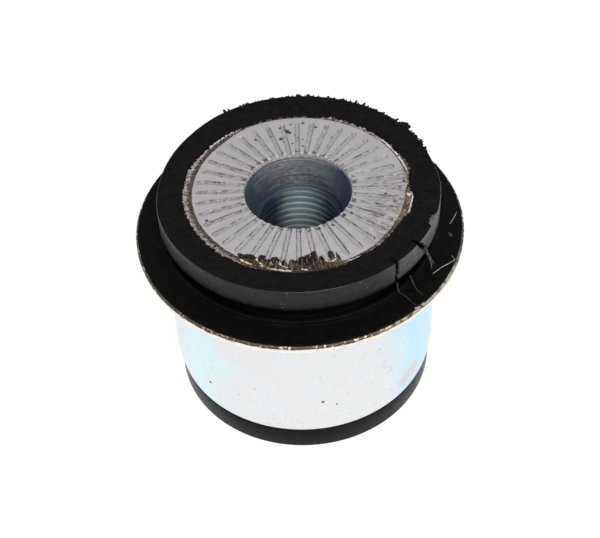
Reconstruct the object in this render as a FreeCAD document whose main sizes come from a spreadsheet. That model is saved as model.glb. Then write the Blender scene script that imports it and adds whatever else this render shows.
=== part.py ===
"""Engine mount: a flanged steel sleeve and a serrated, threaded steel core, bonded together by rubber.

The mount stands upright on its rubber foot. The origin is the centre of the foot's underside, +Z is up
along the mount's axis, and lengths are in millimetres.
"""
import FreeCAD, Part
import math
import os
import Sketcher

os.makedirs("parts", exist_ok=True)
doc = FreeCAD.newDocument("engine_mount")

# Driving dimensions

sheet = doc.addObject("Spreadsheet::Sheet", "sizes")
cells = {
    # steel core: head, shank and bore
    "core_length": 43.0,
    "core_raise": 0.75,
    "head_dia": 40.8,
    "head_thick": 4.0,
    "head_chamfer": 0.8,
    "head_chamfer_drop": 0.4,
    "shank_dia": 29.0,
    "shank_fillet": 1.5,
    "shank_chamfer": 0.6,
    "mouth_dia": 19.5,
    "cone_depth": 6.35,
    "thread_bore_dia": 14.38,
    "thread_lead_depth": 1.1,
    "thread_lead_width": 0.9,
    "exit_chamfer": 0.8,
    # coined grooves in the end face of the head
    "groove_count": 40,
    "groove_width": 0.8,
    "groove_sink": 0.3,
    "groove_nose_round": 0.35,
    "groove_rim_land": 1.3,
    "groove_turn": 7.7,
    # flanged steel sleeve
    "sleeve_dia": 50.4,
    "sleeve_wall": 1.5,
    "sleeve_raise": 5.5,
    "sleeve_lead_length": 3.0,
    "sleeve_lead_drop": 0.3,
    "flange_reach": 4.8,
    "flange_thick": 1.5,
    "flange_below_face": 9.55,
    "flange_bend": 1.2,
    "rim_round": 0.3,
    # rubber ring round the head, neck below it and recess between neck and sleeve
    "ring_wall": 5.0,
    "ring_rise": 0.75,
    "ring_dish": 0.45,
    "ring_below_head": 0.15,
    "ring_round": 0.9,
    "ring_under_slope": 1.5,
    "neck_round": 1.2,
    "recess_width": 3.2,
    "recess_depth": 2.8,
    "recess_round": 1.0,
    "recess_skin": 0.8,
    # rubber bead and lining on the flange
    "bead_outset": 0.1,
    "bead_width": 0.8,
    "bead_height": 0.9,
    "bead_round": 0.3,
    "lining_inset": 0.6,
    "lining_thick": 0.3,
    # rubber foot below the sleeve
    "foot_inset": 0.5,
    "foot_chamfer": 0.5,
    "foot_gap": 0.35,
    "foot_gap_depth": 0.8,
    "foot_round": 0.3,
    "relief_skin": 1.2,
    "relief_width": 3.3,
    "relief_depth": 4.0,
    "relief_round": 1.0,
}
for row, (alias, number) in enumerate(cells.items(), start=1):
    sheet.set(f"A{row}", alias)
    sheet.set(f"B{row}", str(number))
    sheet.setAlias(f"B{row}", alias)
doc.recompute()


class Size:
    """A length worked out from the sheet, held both as an expression and as a number."""

    def __init__(self, text, number):
        self.text = text
        self.number = number

    def joined(self, sign, other, number):
        return Size(f"({self.text} {sign} {getattr(other, 'text', other)})", number)

    def __add__(self, other):
        return self.joined("+", other, self.number + getattr(other, "number", other))

    def __sub__(self, other):
        return self.joined("-", other, self.number - getattr(other, "number", other))

    def __mul__(self, other):
        return self.joined("*", other, self.number * getattr(other, "number", other))

    def __truediv__(self, other):
        return self.joined("/", other, self.number / getattr(other, "number", other))


def size(alias):
    return Size(f"sizes.{alias}", float(sheet.get(alias)))


zero = Size("0", 0.0)

# Radii and heights that more than one piece takes its place from

face_height = size("core_raise") + size("core_length")
head_radius = size("head_dia") / 2
head_under = face_height - size("head_thick")
shank_radius = size("shank_dia") / 2
shank_end = size("core_raise") + size("shank_chamfer")
shank_corner = (shank_radius, head_under, size("shank_fillet"))
sleeve_radius = size("sleeve_dia") / 2
sleeve_inner = sleeve_radius - size("sleeve_wall")
flange_under = face_height - size("flange_below_face")
flange_top = flange_under + size("flange_thick")
flange_radius = sleeve_radius + size("flange_reach")
flange_corner = (sleeve_inner, flange_top, size("flange_bend") + size("sleeve_wall"))


# Sketches and turned bodies

def origin_feature(body, role):
    for feature in body.Origin.OriginFeatures:
        if feature.Role == role:
            return feature
    raise ValueError(role)


def sketch_on(body, role, name):
    sketch = body.newObject("Sketcher::SketchObject", name)
    sketch.AttachmentSupport = (origin_feature(body, role), [""])
    sketch.MapMode = "FlatFace"
    return sketch


def bind_constraint(sketch, label, constraint, length):
    sketch.renameConstraint(sketch.addConstraint(constraint), label)
    sketch.setExpression(f"Constraints.{label}", length.text)


def pin_point(sketch, label, curve, end, radius, height):
    """Holds a point of a curve at a radius from the axis and a height over the origin."""
    across = Sketcher.Constraint("DistanceX", -1, 1, curve, end, radius.number)
    along = Sketcher.Constraint("DistanceY", -1, 1, curve, end, height.number)
    bind_constraint(sketch, f"{label}_radius", across, radius)
    bind_constraint(sketch, f"{label}_height", along, height)


def corner_arc(before, corner, after, radius):
    """The arc that rounds a corner, and whether the outline runs along it counter-clockwise."""
    to_before = (before - corner).normalize()
    to_after = (after - corner).normalize()
    half_angle = to_before.getAngle(to_after) / 2
    setback = radius / math.tan(half_angle)
    centre = corner + (to_before + to_after).normalize() * (radius / math.sin(half_angle))
    first = corner + to_before * setback - centre
    last = corner + to_after * setback - centre
    ccw = first.cross(last).z > 0
    if not ccw:
        first, last = last, first
    circle = Part.Circle(centre, FreeCAD.Vector(0, 0, 1), radius)
    return Part.ArcOfCircle(circle, math.atan2(first.y, first.x), math.atan2(last.y, last.x)), ccw


def closed_outline(sketch, corners):
    """Draws a closed outline through (radius, height) corners. A third value in a corner rounds it."""
    places = [FreeCAD.Vector(corner[0].number, corner[1].number, 0) for corner in corners]
    count = len(corners)
    arcs = {}
    for index, corner in enumerate(corners):
        if len(corner) == 3:
            after = places[(index + 1) % count]
            arcs[index] = corner_arc(places[index - 1], places[index], after, corner[2].number)
    for index, place in enumerate(places):
        start, end = place, places[(index + 1) % count]
        if index in arcs:
            arc, ccw = arcs[index]
            start = arc.EndPoint if ccw else arc.StartPoint
        if (index + 1) % count in arcs:
            arc, ccw = arcs[(index + 1) % count]
            end = arc.StartPoint if ccw else arc.EndPoint
        sketch.addGeometry(Part.LineSegment(start, end), False)
    for index, corner in enumerate(corners):
        line_in, line_out = (index - 1) % count, index
        if index not in arcs:
            sketch.addConstraint(Sketcher.Constraint("Coincident", line_in, 2, line_out, 1))
            pin_point(sketch, f"corner{index}", line_out, 1, corner[0], corner[1])
            continue
        arc, ccw = arcs[index]
        arc_in, arc_out = (1, 2) if ccw else (2, 1)
        curve = sketch.addGeometry(arc, False)
        apex = sketch.addGeometry(Part.Point(places[index]), True)
        sketch.addConstraint(Sketcher.Constraint("Tangent", line_in, 2, curve, arc_in))
        sketch.addConstraint(Sketcher.Constraint("Tangent", line_out, 1, curve, arc_out))
        sketch.addConstraint(Sketcher.Constraint("PointOnObject", apex, 1, line_in))
        sketch.addConstraint(Sketcher.Constraint("PointOnObject", apex, 1, line_out))
        pin_point(sketch, f"corner{index}", apex, 1, corner[0], corner[1])
        rounding = Sketcher.Constraint("Radius", curve, corner[2].number)
        bind_constraint(sketch, f"corner{index}_round", rounding, corner[2])


def turned_body(name, corners):
    """A body turned about the mount's axis from the outline of its half section."""
    body = doc.addObject("PartDesign::Body", name)
    sketch = sketch_on(body, "XZ_Plane", f"{name}_section")
    closed_outline(sketch, corners)
    turn = body.newObject("PartDesign::Revolution", f"{name}_turn")
    turn.Profile = sketch
    turn.ReferenceAxis = (sketch, ["V_Axis"])
    turn.Angle = 360
    doc.recompute()
    return body


# Steel core: a shank inside the rubber, a wide head, and a bore that narrows from a conical mouth

mouth_radius = size("mouth_dia") / 2
thread_radius = size("thread_bore_dia") / 2
cone_end = face_height - size("cone_depth")
core = turned_body("inner_core", [
    (thread_radius + size("exit_chamfer"), size("core_raise")),
    (shank_radius - size("shank_chamfer"), size("core_raise")),
    (shank_radius, shank_end),
    shank_corner,
    (head_radius, head_under),
    (head_radius, face_height - size("head_chamfer_drop")),
    (head_radius - size("head_chamfer"), face_height),
    (mouth_radius, face_height),
    (thread_radius + size("thread_lead_width"), cone_end),
    (thread_radius, cone_end - size("thread_lead_depth")),
    (thread_radius, size("core_raise") + size("exit_chamfer")),
])

# Each coined groove is the track of a round-nosed bar that lies along a radius, with its centre line above
# the face, so that it sinks into the face by the groove's depth and opens to the groove's width there

bar_round = size("groove_width") * size("groove_width") / 4 + size("groove_sink") * size("groove_sink")
bar_radius = bar_round / (size("groove_sink") * 2)
bar_height = face_height + bar_radius - size("groove_sink")
bar_start = mouth_radius - size("groove_width")
bar_end = head_radius - size("head_chamfer") - size("groove_rim_land")
groove_sketch = sketch_on(core, "XZ_Plane", "coined_groove_section")
groove_sketch.setExpression("AttachmentOffset.Base.y", bar_height.text)
closed_outline(groove_sketch, [
    (bar_start, zero),
    (bar_end, zero),
    (bar_end, bar_radius, size("groove_nose_round")),
    (bar_start, bar_radius),
])
groove = core.newObject("PartDesign::Groove", "coined_groove")
groove.Profile = groove_sketch
groove.ReferenceAxis = (groove_sketch, ["H_Axis"])
groove.Angle = 360
doc.recompute()
pattern = core.newObject("PartDesign::PolarPattern", "coined_grooves")
pattern.Originals = [groove]
pattern.Axis = (origin_feature(core, "Z_Axis"), [""])
pattern.Angle = 360
pattern.setExpression("Occurrences", "sizes.groove_count")
core.Tip = pattern
core.setExpression("Placement.Rotation.Angle", "sizes.groove_turn")
doc.recompute()

# Steel sleeve: a straight tube with a short lead-in at its lower end and a flange turned out at its upper end

sleeve = turned_body("outer_sleeve", [
    (sleeve_inner, size("sleeve_raise")),
    (sleeve_radius - size("sleeve_lead_drop"), size("sleeve_raise")),
    (sleeve_radius, size("sleeve_raise") + size("sleeve_lead_length")),
    (sleeve_radius, flange_under, size("flange_bend")),
    (flange_radius, flange_under, size("rim_round")),
    (flange_radius, flange_top, size("rim_round")),
    flange_corner,
])

# Rubber: foot, wall between the steel pieces, lining and bead on the flange, recess, neck and ring

foot_radius = sleeve_radius - size("foot_inset")
foot_top = size("sleeve_raise") - size("foot_gap")
foot_gap_radius = foot_radius - size("foot_gap_depth")
lining_radius = flange_radius - size("lining_inset")
lining_top = flange_top + size("lining_thick")
bead_radius = sleeve_radius + size("bead_outset")
bead_top = lining_top + size("bead_height")
recess_floor = flange_top - size("recess_depth")
neck_radius = sleeve_inner - size("recess_width")
ring_radius = head_radius + size("ring_wall")
ring_top = face_height + size("ring_rise")
ring_under = head_under - size("ring_below_head")
relief_inner = shank_radius + size("relief_skin")
relief_outer = relief_inner + size("relief_width")
rubber = turned_body("rubber_body", [
    (relief_outer, zero),
    (foot_radius, zero, size("foot_round")),
    (foot_radius, foot_top - size("foot_chamfer")),
    (foot_radius - size("foot_chamfer"), foot_top),
    (foot_gap_radius, foot_top),
    (foot_gap_radius, size("sleeve_raise")),
    (sleeve_inner, size("sleeve_raise")),
    flange_corner,
    (lining_radius, flange_top),
    (lining_radius, lining_top),
    (bead_radius, lining_top),
    (bead_radius, bead_top, size("bead_round")),
    (bead_radius - size("bead_width"), bead_top, size("bead_round")),
    (sleeve_inner - size("recess_skin"), recess_floor, size("recess_round")),
    (neck_radius, recess_floor, size("recess_round")),
    (neck_radius, ring_under - size("ring_under_slope"), size("neck_round")),
    (ring_radius, ring_under, size("ring_round")),
    (ring_radius, ring_top),
    (head_radius, ring_top - size("ring_dish")),
    (head_radius, head_under),
    shank_corner,
    (shank_radius, shank_end),
    (relief_inner, shank_end),
    (relief_inner, size("relief_depth"), size("relief_round")),
    (relief_outer, size("relief_depth"), size("relief_round")),
])

# Nothing is written unless every feature and every shape is sound

for thing in doc.Objects:
    if "Invalid" in thing.State or "Error" in thing.State:
        raise RuntimeError(f"{thing.Name} failed: {thing.State}")
for body in (outer for outer in doc.Objects if outer.TypeId == "PartDesign::Body"):
    body.Label = body.Name
    if body.Shape.isNull() or not body.Shape.isValid() or len(body.Shape.Solids) != 1:
        raise RuntimeError(f"{body.Label} is not one sound solid")
    body.Shape.exportStep(f"parts/{body.Label}.step")
    print(body.Label, round(body.Shape.Volume, 1), "mm3,", len(body.Shape.Faces), "faces")
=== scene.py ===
"""Looks of an engine mount: a flanged steel sleeve, a coined and threaded steel core, and rubber between.

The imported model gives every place. Meshes are modelled in millimetres round the mount's axis and brought
to metres as they are finished. Angles are in degrees, counter-clockwise from +X, and the camera stands
towards -Y. Sizes, colours and reaches of wear are fields of the class that uses them.
"""
import logging
import math
import random
from dataclasses import dataclass, field
from enum import Enum, IntEnum
from typing import Callable, Sequence

import bmesh
import bpy
from mathutils import Matrix, Vector, noise


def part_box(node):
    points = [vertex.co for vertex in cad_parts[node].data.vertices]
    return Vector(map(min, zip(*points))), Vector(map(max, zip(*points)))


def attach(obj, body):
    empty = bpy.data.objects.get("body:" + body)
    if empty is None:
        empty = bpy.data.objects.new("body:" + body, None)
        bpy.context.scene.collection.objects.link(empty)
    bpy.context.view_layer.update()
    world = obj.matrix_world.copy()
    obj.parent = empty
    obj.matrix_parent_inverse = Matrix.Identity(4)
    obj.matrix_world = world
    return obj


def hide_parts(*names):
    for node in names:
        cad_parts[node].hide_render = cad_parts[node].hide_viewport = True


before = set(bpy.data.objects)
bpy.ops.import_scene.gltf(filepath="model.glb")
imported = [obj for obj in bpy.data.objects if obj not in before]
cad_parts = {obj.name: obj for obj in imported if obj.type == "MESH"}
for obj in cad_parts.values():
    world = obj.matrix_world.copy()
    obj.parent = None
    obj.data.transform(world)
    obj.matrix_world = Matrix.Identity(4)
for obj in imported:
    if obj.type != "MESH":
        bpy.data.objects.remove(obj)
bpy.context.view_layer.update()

log = logging.getLogger("engine_mount")
MM = 0.001
FULL_TURN = 360.0
Triple = tuple[float, float, float]
Colour = Triple
Places = tuple[Triple, ...]
MeshEdit = bmesh.types.BMesh
Material = bpy.types.Material
Piece = bpy.types.Object
Socket = bpy.types.NodeSocket


class Slot(Enum):
    """The record's material slots."""

    SLEEVE = "sleeve_zinc"
    CORE = "core_zinc"
    RUBBER = "black_rubber"


class DirtAndLight(Enum):
    """The point attributes that tell a finish where dirt, flash, painted shade and painted highlights lie."""

    GROOVE_WALL = "groove_wall"
    GROOVE_FLOOR = "groove_floor"
    CREST = "crest"
    LUMP = "lump"


def node_span(node: str) -> tuple[Vector, Vector]:
    """Gives a CAD node's lowest and highest corners in millimetres.

    Args:
        node: The node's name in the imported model.

    Returns:
        The lowest and the highest corner.
    """
    low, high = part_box(node)
    return Vector(low) / MM, Vector(high) / MM


def smooth_step(low: float, high: float, value: float) -> float:
    """Gives 0 below low and 1 above high, with a smooth rise between them."""
    share = min(max((value - low) / (high - low), 0.0), 1.0)
    return share * share * (3 - 2 * share)


def between(value: float, low: float, high: float, soft: float) -> float:
    """Gives 1 where a value lies between low and high, with soft ends."""
    return smooth_step(low - soft, low + soft, value) * (1 - smooth_step(high - soft, high + soft, value))


def turn_between(angle: float, centre: float) -> float:
    """Gives the signed turn in degrees from centre to angle, between -180 and 180."""
    return (angle - centre + 180) % FULL_TURN - 180


def polar(radius: float, angle: float, height: float) -> Vector:
    """Gives the point at a radius, an angle in degrees and a height."""
    return Vector((radius * math.cos(math.radians(angle)), radius * math.sin(math.radians(angle)), height))


@dataclass
class Place:
    """A point of a turned surface, held as radius, angle in degrees and height."""

    radius: float
    angle: float
    height: float

    @classmethod
    def of(cls, point: Vector) -> "Place":
        """Reads a point."""
        angle = math.degrees(math.atan2(point.y, point.x)) % FULL_TURN
        return cls(math.hypot(point.x, point.y), angle, point.z)

    def point(self) -> Vector:
        """Gives the place as a point."""
        return polar(self.radius, self.angle, self.height)

    def across(self, angle: float) -> float:
        """Gives the distance along the circle from an angle to the place."""
        return math.radians(turn_between(self.angle, angle)) * self.radius


def roughness_at(place: Place, size: float, seed: float) -> float:
    """Gives a smooth random value of about -1 to 1 with features of about the given size."""
    return noise.noise(place.point() / size + Vector((seed, -seed, 2 * seed)))


def wear_at(place: Place, size: float, seed: float) -> float:
    """Gives a smooth random value of about 0 to 1 with features of about the given size."""
    return 0.5 + 0.5 * roughness_at(place, size, seed)


def rotate_round(bm: MeshEdit, verts: Sequence[bmesh.types.BMVert], degrees: float) -> None:
    """Turns some vertices about the mount's axis."""
    matrix = Matrix.Rotation(math.radians(degrees), 3, "Z")
    bmesh.ops.rotate(bm, verts=verts, cent=(0, 0, 0), matrix=matrix)


def spin_round(bm: MeshEdit, geom: list, degrees: float, steps: int, rise: float = 0.0) -> None:
    """Spins vertices and edges about the mount's axis.

    Args:
        bm: The mesh.
        geom: The vertices and edges.
        degrees: The whole turn.
        steps: The number of steps in the turn.
        rise: The height that each step gains.
    """
    bmesh.ops.spin(
        bm, geom=geom, cent=(0, 0, 0), axis=(0, 0, 1), dvec=(0, 0, rise),
        angle=math.radians(degrees), steps=steps, use_merge=False,
    )


def add_object(name: str, data: bpy.types.ID) -> Piece:
    """Makes an object of some data and links it to the scene."""
    made = bpy.data.objects.new(name, data)
    bpy.context.scene.collection.objects.link(made)
    return made


@dataclass
class Corner:
    """A corner of a half section: its radius and height, and the radius of its rounding."""

    radius: float
    height: float
    rounding: float = 0.0


def double_round(bm: MeshEdit, sweep: float, rise: float = 0.0) -> None:
    """Joins a copy of the whole mesh to it, turned about the axis by its own sweep.

    Args:
        bm: The mesh, which spans the sweep.
        sweep: The turn in degrees from the mesh to its copy.
        rise: The height that the copy is moved up by.
    """
    copied = bmesh.ops.duplicate(bm, geom=bm.verts[:] + bm.edges[:] + bm.faces[:])["geom"]
    verts = [part for part in copied if isinstance(part, bmesh.types.BMVert)]
    rotate_round(bm, verts, sweep)
    bmesh.ops.translate(bm, verts=verts, vec=(0, 0, rise))


@dataclass
class TurnedMesh:
    """A mesh spun about the mount's axis from the corners of its half section."""

    corners: Sequence[Corner]
    steps: int
    closed: bool = True
    start: float = 0.0
    arc_steps: int = 5
    bm: MeshEdit = field(default_factory=bmesh.new)

    def section(self, spacing: Callable[[Vector], float]) -> None:
        """Lays the half section, rounds its corners and divides its long runs.

        Args:
            spacing: Gives the longest run that is wanted near a point of the section.
        """
        corner_verts = [self.bm.verts.new((corner.radius, 0, corner.height)) for corner in self.corners]
        self.bm.faces.new(corner_verts)
        for index, corner in enumerate(self.corners):
            if corner.rounding:
                before = self.corners[index - 1]
                after = self.corners[(index + 1) % len(self.corners)]
                self.round_corner(corner_verts[index], corner, before, after)
        bmesh.ops.delete(self.bm, geom=self.bm.faces[:], context="FACES_ONLY")
        if not self.closed:
            closing = self.bm.edges.get((corner_verts[-1], corner_verts[0]))
            bmesh.ops.delete(self.bm, geom=[closing], context="EDGES")
        for edge in list(self.bm.edges):
            middle = (edge.verts[0].co + edge.verts[1].co) / 2
            cuts = math.ceil(edge.calc_length() / spacing(middle)) - 1
            if cuts > 0:
                bmesh.ops.subdivide_edges(self.bm, edges=[edge], cuts=cuts)

    def round_corner(self, vert: bmesh.types.BMVert, corner: Corner, before: Corner, after: Corner) -> None:
        """Bevels one corner of the section to an arc that touches both runs.

        Args:
            vert: The corner's vertex.
            corner: The corner.
            before: The corner before it.
            after: The corner after it.
        """
        place = Vector((corner.radius, corner.height))
        to_before = Vector((before.radius, before.height)) - place
        to_after = Vector((after.radius, after.height)) - place
        setback = corner.rounding / math.tan(to_before.angle(to_after) / 2)
        bmesh.ops.bevel(
            self.bm, geom=[vert], offset=setback, offset_type="OFFSET", segments=self.arc_steps,
            profile=0.5, affect="VERTICES", material=-1,
        )

    def spin(self) -> None:
        """Spins the section through a few steps, doubles that up to the full turn and closes the seams."""
        rotate_round(self.bm, self.bm.verts[:], self.start)
        first_steps, sweep = self.steps, FULL_TURN
        while first_steps % 2 == 0:
            first_steps //= 2
            sweep /= 2
        spin_round(self.bm, self.bm.verts[:] + self.bm.edges[:], sweep, first_steps)
        while sweep < FULL_TURN:
            double_round(self.bm, sweep)
            sweep *= 2
        bmesh.ops.remove_doubles(self.bm, verts=self.bm.verts, dist=1e-4)
        bmesh.ops.recalc_face_normals(self.bm, faces=self.bm.faces)

    def shape(self, move: Callable[[Place], None]) -> None:
        """Moves each vertex by a function that changes its place."""
        for vert in self.bm.verts:
            place = Place.of(vert.co)
            move(place)
            vert.co = place.point()


def finish_piece(
    name: str, bm: MeshEdit, materials: Sequence[Material],
    replaces: str | None = None, crease: float = 38.0,
) -> Piece:
    """Turns a bmesh in millimetres into a piece of the mount in metres.

    Args:
        name: The piece's name.
        bm: The modelled mesh, which is freed.
        materials: The materials that the faces' indices name.
        replaces: The CAD node that the piece stands for.
        crease: The angle in degrees above which an edge stays sharp.

    Returns:
        The new object, which rides on the mount's body.
    """
    limit = math.radians(crease)
    for face in bm.faces:
        face.smooth = True
    for edge in bm.edges:
        edge.smooth = edge.calc_face_angle(0.0) < limit
    bmesh.ops.scale(bm, vec=(MM, MM, MM), verts=bm.verts)
    mesh = bpy.data.meshes.new(name)
    bm.to_mesh(mesh)
    bm.free()
    for material in materials:
        mesh.materials.append(material)
    piece = add_object(name, mesh)
    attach(piece, "root")
    if replaces:
        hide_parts(replaces)
    log.info("%s: %d faces", name, len(mesh.polygons))
    return piece


@dataclass(frozen=True)
class Value:
    """A number or colour that a shader tree works out. Its operators and methods add more nodes."""

    nodes: "Nodes"
    socket: Socket

    def __add__(self, other: "Value | float") -> "Value":
        """Adds a number or a value."""
        return self.nodes.math("ADD", self, other)

    def __sub__(self, other: "Value | float") -> "Value":
        """Takes a number or a value away."""
        return self.nodes.math("SUBTRACT", self, other)

    def __rsub__(self, other: float) -> "Value":
        """Takes the value away from a number."""
        return self.nodes.math("SUBTRACT", other, self)

    def __mul__(self, other: "Value | float") -> "Value":
        """Multiplies by a number or a value."""
        return self.nodes.math("MULTIPLY", self, other)

    def __abs__(self) -> "Value":
        """Drops the sign."""
        return self.nodes.math("ABSOLUTE", self)

    def span(self, low: float, high: float, start: float = 0.0, end: float = 1.0) -> "Value":
        """Maps the value smoothly from low..high to start..end, held between them."""
        inputs = {0: self, 1: low, 2: high, 3: start, 4: end}
        return self.nodes.add("MapRange", inputs, interpolation_type="SMOOTHSTEP")

    def band(self, low: float, high: float, soft: float) -> "Value":
        """Gives 1 where the value lies between low and high, with soft ends."""
        return self.span(low - soft, low + soft) * self.span(high - soft, high + soft, 1.0, 0.0)


Input = Value | Vector | Colour | float


class Nodes:
    """Adds nodes to one shader tree."""

    def __init__(self, tree: bpy.types.NodeTree) -> None:
        """Takes the tree."""
        self.tree = tree

    def put(self, value: Input, socket: Socket) -> None:
        """Links a value to a socket, or sets a constant on it."""
        if isinstance(value, Value):
            self.tree.links.new(value.socket, socket)
        elif isinstance(value, tuple) and len(socket.default_value) == 4:
            socket.default_value = (*value, 1.0)
        else:
            socket.default_value = value

    def add(
        self, kind: str, inputs: dict[int | str, Input], output: int | str = 0, **options: str | bool,
    ) -> Value:
        """Adds a node.

        Args:
            kind: The node's type, without the prefix that all shader nodes share.
            inputs: The values and constants that its inputs take, by number or name.
            output: The output that is wanted.
            options: The node's own settings.

        Returns:
            The value that the output gives.
        """
        node = self.tree.nodes.new("ShaderNode" + kind)
        for name, option in options.items():
            setattr(node, name, option)
        for key, value in inputs.items():
            self.put(value, node.inputs[key])
        return Value(self, node.outputs[output])

    def math(
        self, operation: str, first: Value | float, second: Value | float = 0.0, clamp: bool = False,
    ) -> Value:
        """Adds a Math node."""
        return self.add("Math", {0: first, 1: second}, operation=operation, use_clamp=clamp)


class Wiring(Nodes):
    """Builds one material from nodes, with patterns placed by object coordinates in millimetres."""

    def __init__(self, name: str) -> None:
        """Starts a material with its Principled shader and its coordinates."""
        self.material = bpy.data.materials.new(name)
        self.material.use_nodes = True
        super().__init__(self.material.node_tree)
        self.shader = self.tree.nodes["Principled BSDF"]
        self.colour: Value | Colour = (0.0, 0.0, 0.0)
        metres = self.add("TexCoord", {}, "Object")
        self.place = self.add("Mapping", {"Scale": (1 / MM, 1 / MM, 1 / MM), "Vector": metres}, "Vector")
        parts = self.add("SeparateXYZ", {0: self.place}).socket.node.outputs
        self.x, self.y, self.height = (Value(self, part) for part in parts)
        self.radius = self.math("SQRT", self.math("POWER", self.x, 2.0) + self.math("POWER", self.y, 2.0))

    def stretched(self, scale: Colour) -> Value:
        """Gives the coordinates scaled along each axis."""
        return self.add("Mapping", {"Scale": scale, "Vector": self.place}, "Vector")

    def around(self) -> Value:
        """Gives the angle round the axis in degrees, between -180 and 180."""
        return self.math("ARCTAN2", self.y, self.x) * math.degrees(1.0)

    def turned(self, radial: float, angular: float, axial: float) -> Value:
        """Gives radius, angle and height as coordinates, each with its own scale."""
        parts = {0: self.radius * radial, 1: self.around() * angular, 2: self.height * axial}
        return self.add("CombineXYZ", parts)

    def noise(
        self, scale: float, detail: float = 3.0, rough: float = 0.5,
        at: Value | None = None, swirl: float = 0.0,
    ) -> Value:
        """Adds a Noise Texture.

        Args:
            scale: The number of features in a millimetre.
            detail: The number of finer layers.
            rough: The weight of the finer layers.
            at: The coordinates, if they aren't the plain ones.
            swirl: How far the pattern is distorted.

        Returns:
            A value of about 0.3 to 0.7.
        """
        inputs = {"Scale": scale, "Detail": detail, "Roughness": rough, "Distortion": swirl}
        return self.add("TexNoise", {**inputs, "Vector": at or self.place}, "Fac")

    def specks(self, scale: float, share: float, size: float) -> Value:
        """Gives 1 inside small spots.

        Args:
            scale: The number of cells in a millimetre.
            share: The share of the cells that hold a spot.
            size: The spot's radius as a share of its cell.

        Returns:
            A value that is 0 between the spots.
        """
        distance = self.add("TexVoronoi", {"Scale": scale, "Vector": self.place}, "Distance")
        tint = Value(self, distance.socket.node.outputs["Color"])
        return self.math("LESS_THAN", tint, share) * distance.span(size * 0.6, size, 1.0, 0.0)

    def spot(self, centre: Vector, reach: float, soft: float, ragged: Value | None = None) -> Value:
        """Gives 1 round a point, fading at its reach.

        Args:
            centre: The point in millimetres.
            reach: The spot's radius.
            soft: Half the width of its fading edge.
            ragged: A value in millimetres that makes the edge ragged.

        Returns:
            A value between 0 and 1.
        """
        distance = self.add("VectorMath", {0: self.place, 1: centre}, "Value", operation="DISTANCE")
        if ragged is not None:
            distance += ragged
        return distance.span(reach - soft, reach + soft, 1.0, 0.0)

    def mix(self, factor: Value | float, first: Value | Colour, second: Value | Colour) -> Value:
        """Mixes two colours."""
        return self.add("Mix", {0: factor, 6: first, 7: second}, 2, data_type="RGBA")

    def lay(self, tone: Value | Colour, factor: Value) -> None:
        """Lays a tone over the running colour where the factor is 1."""
        self.colour = self.mix(factor, self.colour, tone)

    def attribute(self, marking: DirtAndLight) -> Value:
        """Reads a point attribute of the mesh."""
        return self.add("Attribute", {}, "Fac", attribute_name=marking.value)

    def bump(self, height: Value, depth: float) -> None:
        """Adds a bump, whose depth is in millimetres, on top of those already there."""
        inputs = {"Strength": 1.0, "Distance": depth * MM, "Height": height}
        normal = self.shader.inputs["Normal"]
        if normal.is_linked:
            inputs["Normal"] = Value(self, normal.links[0].from_socket)
        self.put(self.add("Bump", inputs, "Normal"), normal)

    def set(self, **values: Input) -> None:
        """Sets or links the shader's inputs, named in lower case with underscores."""
        for name, value in values.items():
            self.put(value, self.shader.inputs[name.replace("_", " ").title()])


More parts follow.
